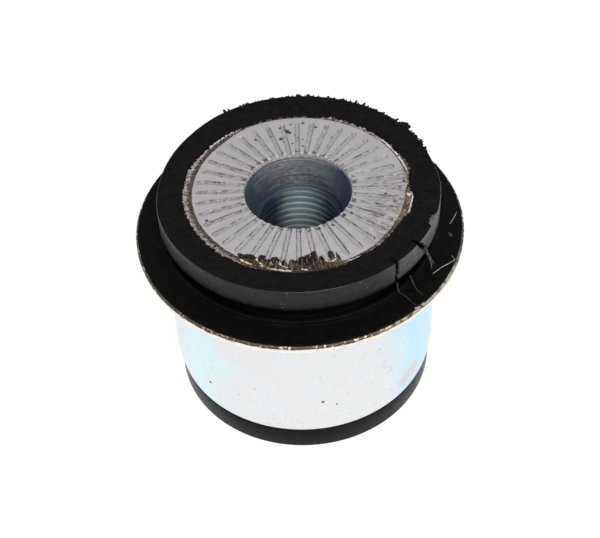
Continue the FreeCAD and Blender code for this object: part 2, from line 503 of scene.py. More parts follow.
@dataclass(frozen=True)
class SleeveZinc:
    """Blue-passivated zinc on the sleeve: tints, scuffs, its flange's stained cut edge and painted
    highlights.

    A spot is given by its angle, height and radius. A reach or a pair of heights is where a tone fades in.
    """

    plate: Colour = (0.77, 0.785, 0.80)
    cyan: Colour = (0.68, 0.88, 0.91)
    sky: Colour = (0.50, 0.79, 0.97)
    gold: Colour = (0.80, 0.66, 0.45)
    cream: Colour = (0.92, 0.88, 0.80)
    olive: Colour = (0.36, 0.30, 0.20)
    brown: Colour = (0.055, 0.033, 0.022)
    stain: Colour = (0.74, 0.60, 0.55)
    lilac_highlight: Colour = (0.78, 0.76, 0.84)
    speck: Colour = (0.03, 0.03, 0.035)
    scuff: Colour = (0.5, 0.52, 0.56)
    smudge: Colour = (0.42, 0.43, 0.44)
    white_highlight: Colour = (0.95, 0.95, 0.97)
    wall_radius: float = 25.2
    rim_reach: tuple[float, float] = (29.45, 29.7)
    edge_heights: tuple[float, float] = (35.06, 35.22)
    lip_heights: tuple[float, float] = (5.6, 6.5)
    white_highlight_heights: tuple[float, float] = (5.55, 5.75)
    stain_spots: Places = ((325.0, 10.4, 1.5), (321.5, 10.2, 2.0), (317.0, 9.6, 1.5))
    black_spots: Places = ((224.2, 11.9, 0.3), (276.2, 14.05, 0.28), (282.1, 12.7, 0.2))

    def material(self) -> Material:
        """Builds the finish."""
        w = Wiring("sleeve_zinc_plate")
        around = w.around()
        placed = around + (w.noise(0.12, 3.0) - 0.5) * 46.0
        left = placed.band(-156.0, -132.0, 9.0)
        right = placed.band(-48.0, -14.0, 13.0) * 0.92
        w.colour = w.mix(left * 0.85, self.plate, self.cyan)
        w.lay(self.sky, right)
        faint = w.noise(0.2, 2.0).span(0.52, 0.75, 0.0, 0.35)
        w.lay(self.cyan, faint)
        ragged = (w.noise(0.9, 4.0) - 0.5) * 3.0
        for angle, height, reach in self.stain_spots:
            spot = w.spot(polar(self.wall_radius, angle, height), reach, 1.0, ragged)
            w.lay(self.stain, spot * 0.6)
        for angle, height, reach in self.black_spots:
            spot = w.spot(polar(self.wall_radius, angle, height), reach, 0.08)
            w.lay(self.speck, spot)
        dust = w.specks(0.9, 0.16, 0.13)
        w.lay(self.speck, dust * 0.55)
        scuffs = w.noise(0.8, 4.0, 0.6, w.stretched((1.0, 1.0, 0.3)), 1.2).span(0.58, 0.7)
        w.lay(self.scuff, scuffs * 0.28)
        smudges = w.specks(0.5, 0.35, 0.2)
        w.lay(self.smudge, smudges * 0.4)
        # Painted highlights along the sleeve's lower edge: lilac over the lip and white at the very edge.
        lip_highlight = w.height.span(*self.lip_heights, 1.0, 0.0)
        w.lay(self.lilac_highlight, lip_highlight * 0.5)
        w.lay(self.white_highlight, w.height.span(*self.white_highlight_heights, 1.0, 0.0))
        rim = w.radius.span(*self.rim_reach)
        wander = (w.noise(0.5, 4.0) - 0.5) * 0.5
        edge_height = w.height + wander
        # Rim: the lower band is a painted cream and gold highlight, brown on the dull side; the upper is
        # brown with painted gold glints.
        gold_share = w.noise(0.6, 4.0).span(0.46, 0.66) * 0.6
        lower = w.mix(gold_share, self.cream, self.gold)
        glints = w.noise(1.3, 4.0).span(0.56, 0.64, 0.0, 0.7)
        upper = w.mix(glints, self.brown, self.gold)
        dull_side = around.band(-30.0, 62.0, 10.0) * w.noise(0.7, 3.0).span(0.3, 0.6, 0.95, 0.6)
        lower = w.mix(dull_side, lower, self.brown)
        torn_side = around.band(-62.0, -22.0, 8.0)
        upper = w.mix(torn_side * w.noise(0.9, 4.0).span(0.36, 0.58), upper, self.olive)
        edge = edge_height.span(*self.edge_heights)
        rim_colour = w.mix(edge, lower, upper)
        w.lay(rim_colour, rim * 0.95)
        stained = edge * rim
        w.set(base_color=w.colour, metallic=1.0)
        rough = w.noise(1.1, 3.0, 0.5).span(0.3, 0.8, 0.26, 0.36)
        w.set(roughness=w.math("ADD", rough, stained * 0.3, clamp=True))
        w.bump(w.noise(0.35, 2.0), 0.05)
        w.bump(w.noise(1.2, 4.0, 0.6, w.turned(1.0, 0.5, 1.0)) * rim, 0.1)
        return w.material


@dataclass(frozen=True)
class CoinedZinc:
    """Matt grey zinc on the core's face, sooty and shaded in its grooves, with scratches, pits and reddish
    stains.

    The groove walls and the groove ends at the mouth carry painted shade as well as soot, and the mouth's
    edge at the back a painted highlight. A spot is given by its distance from the axis, its angle and its own
    radius.
    """

    land: Colour = (0.405, 0.395, 0.405)
    pale: Colour = (0.45, 0.435, 0.44)
    soot_and_shade: Colour = (0.085, 0.072, 0.075)
    rust: Colour = (0.10, 0.042, 0.037)
    stain: Colour = (0.20, 0.14, 0.115)
    pink: Colour = (0.42, 0.34, 0.31)
    worn_highlight: Colour = (0.80, 0.79, 0.80)
    clot: Colour = (0.045, 0.022, 0.02)
    mouth_radius: float = 9.75
    face_height: float = 43.75
    dark_spots: Places = (
        (16.1, 95.5, 0.34), (15.6, 94.2, 0.3), (14.1, 101.0, 0.3), (18.2, 85.2, 0.2), (15.5, 107.0, 0.24),
        (16.7, 96.8, 0.22), (14.3, 162.0, 0.26), (19.0, 2.7, 0.2), (10.9, 302.0, 0.26), (12.4, 296.0, 0.2),
        (10.5, 318.0, 0.3), (11.2, 324.0, 0.22), (17.2, 77.0, 0.18), (12.9, 349.0, 0.24), (17.6, 203.0, 0.22),
        (13.2, 331.0, 0.2), (10.6, 288.0, 0.2), (15.8, 118.0, 0.2), (16.4, 333.0, 0.18), (12.0, 52.0, 0.16),
        (17.1, 99.5, 0.14), (16.7, 88.0, 0.12), (17.9, 92.4, 0.12), (14.9, 97.2, 0.14), (13.2, 99.2, 0.12),
        (15.0, 90.1, 0.12), (12.4, 92.8, 0.12), (16.2, 80.4, 0.14), (18.0, 71.5, 0.1), (13.6, 84.3, 0.12),
        (11.6, 84.0, 0.14), (15.2, 64.0, 0.1), (14.4, 342.0, 0.14), (15.6, 352.0, 0.16), (17.4, 346.0, 0.16),
    )
    stain_spots: Places = ((19.3, 344.0, 1.0), (19.2, 337.0, 1.1), (19.2, 329.0, 0.9))

    def material(self) -> Material:
        """Builds the finish."""
        w = Wiring("core_zinc_face")
        wall = w.attribute(DirtAndLight.GROOVE_WALL)
        floor = w.attribute(DirtAndLight.GROOVE_FLOOR)
        around = w.around()
        cloud = w.noise(0.35, 4.0, 0.6).span(0.35, 0.75)
        w.colour = w.mix(cloud, self.land, self.pale)
        # Painted shade on the groove walls, with some soot: patchy, and lighter at the back.
        patchy = w.noise(0.9, 4.0, 0.6).span(0.32, 0.66, 0.12, 0.95)
        back = around.band(52.0, 132.0, 14.0)
        patchy *= 1.0 - back * 0.45
        w.lay(self.soot_and_shade, wall * patchy)
        silt = floor * back * w.noise(0.7, 4.0, 0.6).span(0.46, 0.6)
        w.lay(self.soot_and_shade, silt * 0.3)
        grime = w.noise(2.2, 4.0, 0.7).span(0.54, 0.68)
        in_groove = w.math("ADD", floor, wall, clamp=True)
        w.lay(self.rust, grime * in_groove * 0.65)
        left = abs(around).band(148.0, 190.0, 8.0)
        tinge = left * in_groove * w.noise(1.3, 3.0).span(0.42, 0.6)
        w.lay(self.stain, tinge * 0.45)
        clots = left * in_groove * w.noise(1.8, 3.0).span(0.56, 0.62)
        w.lay(self.rust, clots * 0.6)
        ragged = (w.noise(2.6) - 0.5) * 0.8
        for radius, angle, reach in self.dark_spots:
            spot = w.spot(polar(radius, angle, self.face_height), reach + 0.08, 0.1, ragged)
            w.lay(self.clot, spot * 0.95)
        wide = ragged * 2.2
        for radius, angle, reach in self.stain_spots:
            spot = w.spot(polar(radius, angle, self.face_height), reach, 0.6, wide)
            w.lay(self.pink, spot * 0.55)
        brown_edge = w.radius.span(18.9, 19.5) * around.band(-32.0, 14.0, 4.0)
        blotted = brown_edge * w.noise(1.6, 4.0).span(0.4, 0.6)
        w.lay(self.stain, blotted * 0.7)
        specks = w.specks(1.5, 0.3, 0.14)
        w.lay(self.soot_and_shade, specks * 0.8)
        pitted = w.specks(2.0, 0.4, 0.18) * w.noise(0.45, 3.0).span(0.42, 0.6)
        w.lay(self.soot_and_shade, pitted * 0.8)
        scratched = around.band(-42.0, 12.0, 6.0)
        lines = w.noise(1.0, 4.0, 0.6, w.turned(0.5, 1.0, 1.0), 0.8).span(0.52, 0.59)
        outer = w.radius.span(10.5, 14.5)
        scratches = scratched * lines * outer
        w.lay(self.soot_and_shade, scratches * 0.8)
        smeared = around.band(-50.0, 8.0, 6.0) * w.radius.span(13.0, 17.0)
        smears = smeared * w.noise(0.9, 4.0, 0.65).span(0.48, 0.62)
        w.lay(self.stain, smears * 0.45)
        # A painted highlight on the mouth's worn edge, only at the back.
        mouth = w.radius.band(self.mouth_radius + 0.05, self.mouth_radius + 0.3, 0.08)
        mouth_highlight = mouth * w.noise(1.6, 3.0).span(0.46, 0.56)
        mouth_highlight *= around.band(40.0, 138.0, 10.0)
        w.lay(self.worn_highlight, mouth_highlight * 0.45)
        # The groove ends at the mouth are darkened: soot and painted shade.
        groove_end_shade = w.radius.band(self.mouth_radius + 0.1, self.mouth_radius + 0.9, 0.1) * in_groove
        groove_end_shade *= w.noise(1.1, 3.0).span(0.44, 0.56)
        w.lay(self.soot_and_shade, groove_end_shade * 0.85)
        w.set(base_color=w.colour, metallic=0.4)
        rough = w.noise(2.0, 4.0).span(0.3, 0.8, 0.48, 0.6)
        w.set(roughness=rough + in_groove * 0.2)
        w.bump(w.noise(0.8, 3.0), 0.03)
        w.bump(w.noise(5.0, 4.0, 0.65), 0.014)
        return w.material


@dataclass(frozen=True)
class BoreZinc:
    """Blue-grey zinc on the turned mouth and the thread, with fine turning lines round the axis.

    The crest's and the root's reach are the radii between which the painted highlight on them fades. Light
    and
    shade are painted in: the cone is paler at the back, and the thread is lit only near lit_angle.
    """

    mouth: Colour = (0.57, 0.56, 0.575)
    teal: Colour = (0.12, 0.19, 0.21)
    navy: Colour = (0.10, 0.155, 0.215)
    deep: Colour = (0.010, 0.018, 0.034)
    thread: Colour = (0.212, 0.262, 0.277)
    crest: Colour = (0.50, 0.58, 0.60)
    dusk: Colour = (0.032, 0.054, 0.080)
    line: Colour = (0.16, 0.20, 0.24)
    speck: Colour = (0.06, 0.06, 0.07)
    crest_reach: tuple[float, float] = (7.21, 7.26)
    root_reach: tuple[float, float] = (7.31, 7.35)
    cone_end: float = 37.4
    lit_angle: float = 85.0

    def material(self) -> Material:
        """Builds the finish."""
        w = Wiring("core_zinc_bore")
        around = w.around()
        off_back = abs(around - 90.0)
        drift = (w.noise(0.3, 3.0) - 0.5) * 50.0
        placed = off_back + drift
        # The cone is painted paler at its back wall, where the light falls, teal at the left and navy at the
        # right.
        side = w.mix(w.x.span(-2.0, 2.0), self.teal, self.navy)
        in_cone = w.mix(placed.span(25.0, 75.0), self.mouth, side)
        # Painted light on the thread: its lit tone only near lit_angle, painted shade elsewhere, darkest at
        # the left.
        off_lit = abs(around - self.lit_angle)
        off_lit += (w.noise(1.1, 3.0) - 0.5) * 26.0
        unlit = w.mix(w.x.span(0.0, 6.0), self.deep, self.dusk)
        in_thread = w.mix(off_lit.span(3.0, 46.0), self.thread, unlit)
        # A painted highlight on the crests and roots near lit_angle, stronger lower down.
        on_crest = w.radius.span(*self.crest_reach, 0.45, 0.0)
        on_root = w.radius.span(*self.root_reach)
        crest_highlight = (on_crest + on_root) * off_lit.span(8.0, 48.0, 0.6, 0.0)
        crest_highlight *= w.height.span(31.0, 35.5, 1.0, 0.3)
        in_thread = w.mix(crest_highlight, in_thread, self.crest)
        # Painted shade on the lead below the cone.
        lead_shade = w.height.band(self.cone_end - 0.95, self.cone_end, 0.25)
        in_thread = w.mix(lead_shade * 0.8, in_thread, self.deep)
        cone = w.height.span(self.cone_end + 0.15, self.cone_end + 0.3)
        w.colour = w.mix(cone, in_thread, in_cone)
        # Painted shade along the cone's lower edge.
        edge = w.height.band(self.cone_end - 0.2, self.cone_end + 0.25, 0.1)
        w.lay(self.deep, edge * 0.7)
        lines = w.noise(1.0, 3.0, 0.6, w.stretched((0.08, 0.08, 5.0)))
        w.lay(self.line, lines.span(0.45, 0.7, 0.0, 0.3))
        w.lay(self.speck, w.specks(1.3, 0.2, 0.12) * 0.6)
        rough = 0.66 - cone * 0.34
        w.set(base_color=w.colour, metallic=cone * 0.45 + 0.55)
        w.set(roughness=rough + w.noise(1.5).span(0.3, 0.8, 0.0, 0.1))
        w.shader.inputs["Specular IOR Level"].default_value = 0.2
        w.bump(lines, 0.05)
        w.bump(w.noise(4.0, 4.0, 0.6), 0.008)
        return w.material


@dataclass(frozen=True)
class ShankZinc:
    """Plain zinc on the core's outer faces and lower end."""

    plate: Colour = (0.60, 0.60, 0.62)
    shade: Colour = (0.42, 0.43, 0.46)
    speck: Colour = (0.1, 0.09, 0.09)

    def material(self) -> Material:
        """Builds the finish."""
        w = Wiring("core_zinc_shank")
        w.colour = w.mix(w.noise(0.4, 4.0, 0.6).span(0.35, 0.7), self.plate, self.shade)
        w.lay(self.speck, w.specks(1.2, 0.2, 0.14) * 0.6)
        w.set(base_color=w.colour, metallic=1.0, roughness=w.noise(1.4, 4.0).span(0.3, 0.8, 0.3, 0.46))
        w.bump(w.noise(3.0, 5.0, 0.6), 0.02)
        return w.material


@dataclass(frozen=True)
class MouldedRubber:
    """Black moulded rubber: a mottled sooty grain, with pale dust.

    Attributes:
        name: The material's name.
        black: The darker of its two tones.
        grey: The paler of its two tones.
        sheen: The shader's specular level.
        rough: The lowest and the highest roughness.
        dust: The weight of the pale flecks.
        grain: The depth of its bumps in millimetres: the broad ones have double, the fine ones half.
        bloom_sheen: The level of the chalky tone on the torn side, partly a painted sheen, or 0 for none.
        fleck_share: The share of places that carry a fleck.
        fleck: The tone of the flecks.
    """

    name: str
    black: Colour
    grey: Colour
    sheen: float
    rough: tuple[float, float]
    dust: float
    grain: float = 0.03
    bloom_sheen: float = 0.0
    fleck_share: float = 0.12
    fleck: Colour = (0.42, 0.36, 0.37)

    def material(self) -> Material:
        """Builds the finish."""
        w = Wiring(self.name)
        w.colour = w.mix(w.noise(0.7, 5.0, 0.65).span(0.35, 0.7), self.black, self.grey)
        if self.bloom_sheen:
            # A chalky tone on the ring's torn side, partly a painted sheen, and painted darker towards the
            # bottom as shade.
            torn_side = w.around().band(-50.0, -4.0, 14.0)
            chalky_sheen = torn_side * w.noise(1.2, 4.0, 0.6).span(0.3, 0.65, 0.45, 1.0)
            chalky_sheen *= w.height.span(39.6, 41.2, 0.35, 1.0)
            w.lay((self.bloom_sheen, self.bloom_sheen * 0.96, self.bloom_sheen * 0.93), chalky_sheen)
        plum = w.noise(0.3, 3.0, 0.6).span(0.5, 0.7, 0.0, 0.5)
        w.lay((self.grey[0] * 1.35, self.grey[1] * 0.85, self.grey[2] * 0.95), plum)
        specks = w.specks(1.7, self.fleck_share, 0.14) * w.noise(0.35).span(0.46, 0.6)
        w.lay(self.fleck, specks * self.dust)
        w.set(base_color=w.colour, roughness=w.noise(1.3, 4.0).span(0.3, 0.75, *self.rough))
        w.shader.inputs["Specular IOR Level"].default_value = self.sheen
        w.bump(w.noise(1.0, 3.0), self.grain * 2)
        w.bump(w.noise(6.0, 4.0, 0.7), self.grain * 0.5)
        return w.material


@dataclass(frozen=True)
class BondFilm:
    """The flaky bonding film round the face: pale at the left, brown at the right, black under the rubber.

    Cream highlights are painted on lines along its edge and on the crests of its crumbs. A lapped sector is
    given by its first and last angle and by how far the rubber laps inwards there. The single spots are given
    by their distance from the axis, their angle and their own radius.
    """

    pale: Colour = (0.38, 0.34, 0.325)
    brown: Colour = (0.085, 0.058, 0.046)
    olive: Colour = (0.15, 0.115, 0.075)
    umber: Colour = (0.13, 0.10, 0.088)
    black: Colour = (0.005, 0.0045, 0.0045)
    cream: Colour = (0.80, 0.75, 0.69)
    outer_limit: float = 20.6
    lapped: Places = (
        (74.0, 122.0, 0.62), (122.0, 154.0, 0.45), (22.0, 74.0, 0.4), (-66.0, -24.0, 0.95), (-7.0, 8.0, 0.75),
        (-110.0, -66.0, 0.3),
    )
    rubber_lap: Triple = (19.35, 359.6, 0.62)
    cream_spot: Triple = (19.85, 352.4, 0.42)
    height: float = 43.9

    def material(self) -> Material:
        """Builds the finish."""
        w = Wiring("bond_film")
        around = w.around()
        flaky = w.noise(1.5, 4.0, 0.65)
        left = abs(around).band(118.0, 190.0, 12.0)
        pale_side = w.math("MAXIMUM", left, around.band(22.0, 62.0, 8.0))
        outwards = w.radius.span(19.5, 19.95, -0.09, 0.15)
        threshold = flaky - outwards * pale_side
        w.colour = w.mix(threshold.span(0.36, 0.5), self.pale, self.brown)
        inside = w.radius.span(19.3, 19.8, 1.0, 0.0) * w.noise(1.2, 3.0).span(0.3, 0.5, 0.4, 0.85)
        w.lay(self.umber, inside * left)
        right_side = around.band(-30.0, 12.0, 6.0)
        olive = right_side * w.noise(0.9, 4.0).span(0.36, 0.5)
        w.lay(self.olive, olive)
        pale_flecks = right_side * w.noise(1.7, 4.0, 0.65).span(0.54, 0.62, 0.0, 0.6)
        w.lay(self.pale, pale_flecks)
        pits = w.noise(2.4, 4.0, 0.7) + left * 0.035
        w.lay(self.black, pits.span(0.54, 0.62, 0.0, 0.92))
        # Painted cream highlights along three lines of the film's edge.
        wander = w.radius + (w.noise(0.5, 3.0) - 0.5) * 0.5
        arc = wander.band(19.96, 20.2, 0.05) * around.band(10.0, 40.0, 4.0)
        rim = wander.band(20.0, 20.16, 0.05) * around.band(124.0, 152.0, 4.0)
        line = wander.band(20.25, 20.5, 0.05) * around.band(-21.0, -8.0, 2.0)
        glint = w.math("MAXIMUM", arc, w.math("MAXIMUM", line, rim * 0.8))
        w.lay(self.cream, glint * w.noise(0.7, 3.0).span(0.34, 0.44))
        # Painted cream highlights on the crests of the crumbs.
        crest = w.attribute(DirtAndLight.CREST)
        fleck = w.math("MULTIPLY", w.noise(2.2, 4.0, 0.7).span(0.52, 0.6), crest, clamp=True)
        w.lay(self.cream, fleck)
        limit = w.radius - self.outer_limit
        for low, high, drop in self.lapped:
            limit += around.band(low, high, 4.0) * drop
        limit += left * 0.12
        limit += (w.noise(1.3, 4.0, 0.6) - 0.5) * 1.5
        w.lay(self.black, limit.span(0.0, 0.08))
        ragged = (w.noise(2.2) - 0.5) * 1.2
        for place, tone in ((self.cream_spot, self.cream), (self.rubber_lap, self.black)):
            radius, angle, reach = place
            w.lay(tone, w.spot(polar(radius, angle, self.height), reach, 0.1, ragged))
        w.set(base_color=w.colour, roughness=w.noise(2.0).span(0.3, 0.7, 0.4, 0.7))
        w.shader.inputs["Specular IOR Level"].default_value = 0.04
        w.bump(w.noise(3.0, 4.0, 0.7), 0.1)
        return w.material


@dataclass(frozen=True)
class FaceFlashRubber:
    """Torn rubber flash on the face: dark glossy lumps, brown behind them, and painted cream highlights on
    folds.
    """

    black: Colour = (0.014, 0.008, 0.006)
    brown: Colour = (0.050, 0.029, 0.018)
    olive: Colour = (0.105, 0.078, 0.046)
    cream: Colour = (0.66, 0.60, 0.48)

    def material(self) -> Material:
        """Builds the finish."""
        w = Wiring("face_flash")
        w.colour = w.mix(w.noise(0.8, 4.0, 0.6).span(0.48, 0.66), self.brown, self.olive)
        w.lay(self.black, w.noise(1.9, 4.0, 0.7).span(0.52, 0.62))
        w.lay(self.black, w.attribute(DirtAndLight.LUMP))
        # Painted cream highlights in streaks and on the folds that catch the light.
        streak_highlights = w.noise(1.0, 4.0, 0.6, w.turned(0.4, 1.5, 1.0), 0.8).span(0.56, 0.64)
        w.lay(self.cream, streak_highlights * 0.25)
        w.lay(self.cream, w.attribute(DirtAndLight.CREST))
        w.set(base_color=w.colour, roughness=w.noise(1.5).span(0.3, 0.7, 0.3, 0.55))
        w.shader.inputs["Specular IOR Level"].default_value = 0.06
        w.bump(w.noise(2.2, 4.0, 0.6), 0.12)
        return w.material


@dataclass
class OuterSleeve:
    """The straight steel tube with its flange turned out at the top."""

    wall: float = 1.5
    lead_length: float = 3.0
    lead_drop: float = 0.3
    flange_thick: float = 1.5
    flange_bend: float = 1.2
    rim_round: float = 0.3
    end_round: float = 0.2
    wall_radius: float = 25.2
    run: float = 2.4
    steps: int = 480
    rim_dent: float = 0.10
    finish: SleeveZinc = field(default_factory=SleeveZinc)

    def build(self) -> Piece:
        """Spins the section and dents its rim a little."""
        low, high = node_span("outer_sleeve")
        inner = self.wall_radius - self.wall
        top = high.z
        turned = TurnedMesh(
            corners=[
                Corner(inner, low.z),
                Corner(self.wall_radius - self.lead_drop, low.z, self.end_round),
                Corner(self.wall_radius, low.z + self.lead_length),
                Corner(self.wall_radius, top - self.flange_thick, self.flange_bend),
                Corner(high.x, top - self.flange_thick, self.rim_round),
                Corner(high.x, top, self.rim_round),
                Corner(inner, top, self.flange_bend + self.wall),
            ],
            steps=self.steps,
        )
        turned.section(lambda place: self.run)
        turned.spin()
        rim_start = high.x - 2 * self.rim_round

        def dent(place: Place) -> None:
            """Moves the rim inwards by a slight random dent."""
            share = smooth_step(rim_start, high.x, place.radius)
            place.radius -= share * self.rim_dent * wear_at(place, 1.6, 3.0)

        turned.shape(dent)
        return finish_piece("sleeve_shell", turned.bm, [self.finish.material()], "outer_sleeve")


class CorePart(IntEnum):
    """The parts of the core, in the order of its materials."""

    FACE = 0
    BORE = 1
    SHANK = 2


@dataclass
class InnerCore:
    """The steel core: coined face, conical mouth, threaded bore and the shank inside the rubber."""

    head_thick: float = 4.0
    head_chamfer: float = 0.8
    head_chamfer_drop: float = 0.4
    shank_radius: float = 14.5
    shank_fillet: float = 1.5
    shank_chamfer: float = 0.6
    mouth_radius: float = 9.75
    mouth_round: float = 0.15
    cone_depth: float = 6.35
    thread_minor: float = 7.19
    thread_major: float = 7.37
    thread_flank: float = 0.22
    thread_root: float = 0.34
    thread_pitch: float = 1.5
    thread_lead_width: float = 0.9
    thread_lead_depth: float = 1.1
    thread_steps: int = 96
    exit_radius: float = 7.99
    groove_count: int = 40
    groove_turn: float = 7.7
    groove_half: float = 0.47
    groove_floor_half: float = 0.30
    groove_sink: float = 0.28
    groove_end: float = 18.4
    groove_vary: float = 0.25
    steps_a_groove: int = 16
    face_run: float = 0.28
    end_run: float = 0.1
    body_run: float = 4.0
    mouth_run: float = 0.6
    face_wave: float = 0.03

    def __post_init__(self) -> None:
        """Reads the core's heights and head radius from the frame."""
        low, high = node_span("inner_core")
        self.foot = low.z
        self.face = high.z
        self.head_radius = high.x
        self.cone_end = self.face - self.cone_depth
        self.cone_end_radius = self.thread_minor + self.thread_lead_width
        self.seam_height = self.cone_end + 0.62
        self.pitch_angle = FULL_TURN / self.groove_count

    def cone_radius(self, height: float) -> float:
        """Gives the radius of the conical mouth and of the thread's lead at a height."""
        if height >= self.cone_end:
            slope = (self.mouth_radius - self.cone_end_radius) / self.cone_depth
            return self.cone_end_radius + (height - self.cone_end) * slope
        slope = self.thread_lead_width / self.thread_lead_depth
        return self.cone_end_radius - (self.cone_end - height) * slope

    def spacing(self, place: Vector) -> float:
        """Gives the longest run of the section near a point: short on the face, shorter where grooves end."""
        if place.z < self.face - 0.6:
            return self.mouth_run if place.x < self.mouth_radius else self.body_run
        if self.groove_end - 0.75 < place.x < self.groove_end + 0.35 or place.x < self.mouth_radius + 0.2:
            return self.end_run
        return self.face_run

    def corners(self) -> list[Corner]:
        """Gives the section's corners, from the seam with the thread round to the lower end of the bore."""
        head_under = self.face - self.head_thick
        return [
            Corner(self.cone_radius(self.seam_height + 0.1), self.seam_height + 0.1),
            Corner(self.mouth_radius, self.face, self.mouth_round),
            Corner(self.groove_end - 0.8, self.face),
            Corner(self.groove_end + 0.4, self.face),
            Corner(self.head_radius - self.head_chamfer, self.face, 0.15),
            Corner(self.head_radius, self.face - self.head_chamfer_drop, 0.1),
            Corner(self.head_radius, head_under),
            Corner(self.shank_radius, head_under, self.shank_fillet),
            Corner(self.shank_radius, self.foot + self.shank_chamfer),
            Corner(self.shank_radius - self.shank_chamfer, self.foot),
            Corner(self.exit_radius, self.foot),
        ]

    def aligned_turn(self, place: Place) -> float:
        """Turns evenly spaced steps so that mesh lines run straight, at set offsets from the groove's middle.

        Args:
            place: A vertex, whose angle is moved.

        Returns:
            The distance of the vertex from the middle of its groove.
        """
        nearest = round((place.angle - self.groove_turn) / self.pitch_angle)
        middle = self.groove_turn + nearest * self.pitch_angle
        turn = turn_between(place.angle, middle)
        step = abs(turn) / self.pitch_angle * self.steps_a_groove
        offsets = (0.0, 0.17, self.groove_floor_half, 0.36, 0.42, self.groove_half, self.groove_half + 0.05)
        side = 1 if turn >= 0 else -1
        index = round(step)
        if index < len(offsets):
            offset = offsets[index]
            radius = max(place.radius, self.mouth_radius - 2)
            place.angle = middle + side * math.degrees(math.asin(offset / radius))
            return offset
        last = math.degrees(math.asin(offsets[-1] / place.radius))
        half = self.pitch_angle / 2
        share = (index - len(offsets) + 1) / (self.steps_a_groove / 2 - len(offsets) + 1)
        place.angle = middle + side * (last + (half - last) * share)
        return place.across(middle) if side > 0 else -place.across(middle)

    def groove_wander(self, place: Place) -> float:
        """Gives a random value of about -1 to 1 that is the same all over one groove."""
        nearest = round((place.angle - self.groove_turn) / self.pitch_angle) % self.groove_count
        return noise.noise(Vector((nearest * 1.7, 3.0, 0.0)))

    def groove_reach(self, offset: float, place: Place) -> float:
        """Gives the distance from the groove's middle line, with its nose rounded."""
        end = self.groove_end + self.groove_vary * self.groove_wander(place)
        past_nose = max(0.0, place.radius - (end - self.groove_half))
        return math.hypot(offset, past_nose) * (1 + 0.12 * roughness_at(place, 1.1, 17.0))

    def coin_face(self, turned: TurnedMesh) -> None:
        """Sinks the grooves into the face and marks their walls and floors for the finish."""
        walls = turned.bm.verts.layers.float.new(DirtAndLight.GROOVE_WALL.value)
        floors = turned.bm.verts.layers.float.new(DirtAndLight.GROOVE_FLOOR.value)
        for vert in turned.bm.verts:
            if vert.co.z < self.face - 1.0 or vert.co.xy.length > self.head_radius - self.head_chamfer:
                continue
            place = Place.of(vert.co)
            offset = self.aligned_turn(place)
            reach = self.groove_reach(offset, place)
            share = 1 - smooth_step(self.groove_floor_half, self.groove_half, reach)
            sink = self.groove_sink * (1 + 0.25 * self.groove_wander(place))
            depth = share * sink * (1 - 0.15 * min(reach / self.groove_floor_half, 1.0) ** 2)
            vert[walls] = between(reach, self.groove_floor_half, self.groove_half, 0.06)
            vert[floors] = share
            wave = self.face_wave * roughness_at(place, 2.2, 5.0)
            place.height = min(place.height, self.face - depth - abs(wave))
            vert.co = place.point()

    def cut_thread(self) -> MeshEdit:
        """Sweeps one pitch of the thread up the bore, opens it to the cones and trims its ends.

        Returns:
            The thread's surface, open at both ends.
        """
        bm = bmesh.new()
        flank, root = self.thread_flank, self.thread_root
        crest = self.thread_pitch - root - 2 * flank
        start = self.foot - 2 * self.thread_pitch
        heights = (0.0, crest, crest + flank, crest + flank + root, self.thread_pitch)
        minor, major = self.thread_minor, self.thread_major
        radii = (minor, minor, major, major, minor)
        verts = [bm.verts.new((radius, 0, start + height)) for radius, height in zip(radii, heights)]
        edges = [bm.edges.new(pair) for pair in zip(verts, verts[1:])]
        spin_round(bm, verts + edges, FULL_TURN, self.thread_steps, self.thread_pitch / self.thread_steps)
        turns = 1
        while start + turns * self.thread_pitch < self.seam_height:
            double_round(bm, 0.0, turns * self.thread_pitch)
            turns *= 2
        bmesh.ops.remove_doubles(bm, verts=bm.verts, dist=1e-3)
        near_cones = []
        for edge in bm.edges:
            first, last = (vert.co.z for vert in edge.verts)
            if max(first, last) > self.cone_end - 1.6 and abs(first - last) > 0.1:
                near_cones.append(edge)
        bmesh.ops.subdivide_edges(bm, edges=near_cones, cuts=3, use_grid_fill=True)
        for vert in bm.verts:
            place = Place.of(vert.co)
            exit_cone = self.exit_radius - (place.height - self.foot)
            place.radius = max(place.radius, self.cone_radius(place.height), exit_cone)
            vert.co = place.point()
        for height, up in ((self.seam_height, 1), (self.foot + 0.03, -1)):
            bmesh.ops.bisect_plane(
                bm, geom=bm.verts[:] + bm.edges[:] + bm.faces[:],
                plane_co=(0, 0, height), plane_no=(0, 0, up), clear_outer=True,
            )
        return bm

    def join_thread(self, turned: TurnedMesh) -> None:
        """Puts the thread into the core's bore and bridges both ends."""
        thread = self.cut_thread()
        carrier = bpy.data.meshes.new("thread_carrier")
        thread.to_mesh(carrier)
        thread.free()
        turned.bm.from_mesh(carrier)
        bpy.data.meshes.remove(carrier)
        rims = [edge for edge in turned.bm.edges if edge.is_boundary]
        middle = (self.face + self.foot) / 2
        upper = [edge for edge in rims if edge.verts[0].co.z > middle]
        lower = [edge for edge in rims if edge.verts[0].co.z < middle]
        for rim in (upper, lower):
            bmesh.ops.bridge_loops(turned.bm, edges=rim)
        bmesh.ops.recalc_face_normals(turned.bm, faces=turned.bm.faces)

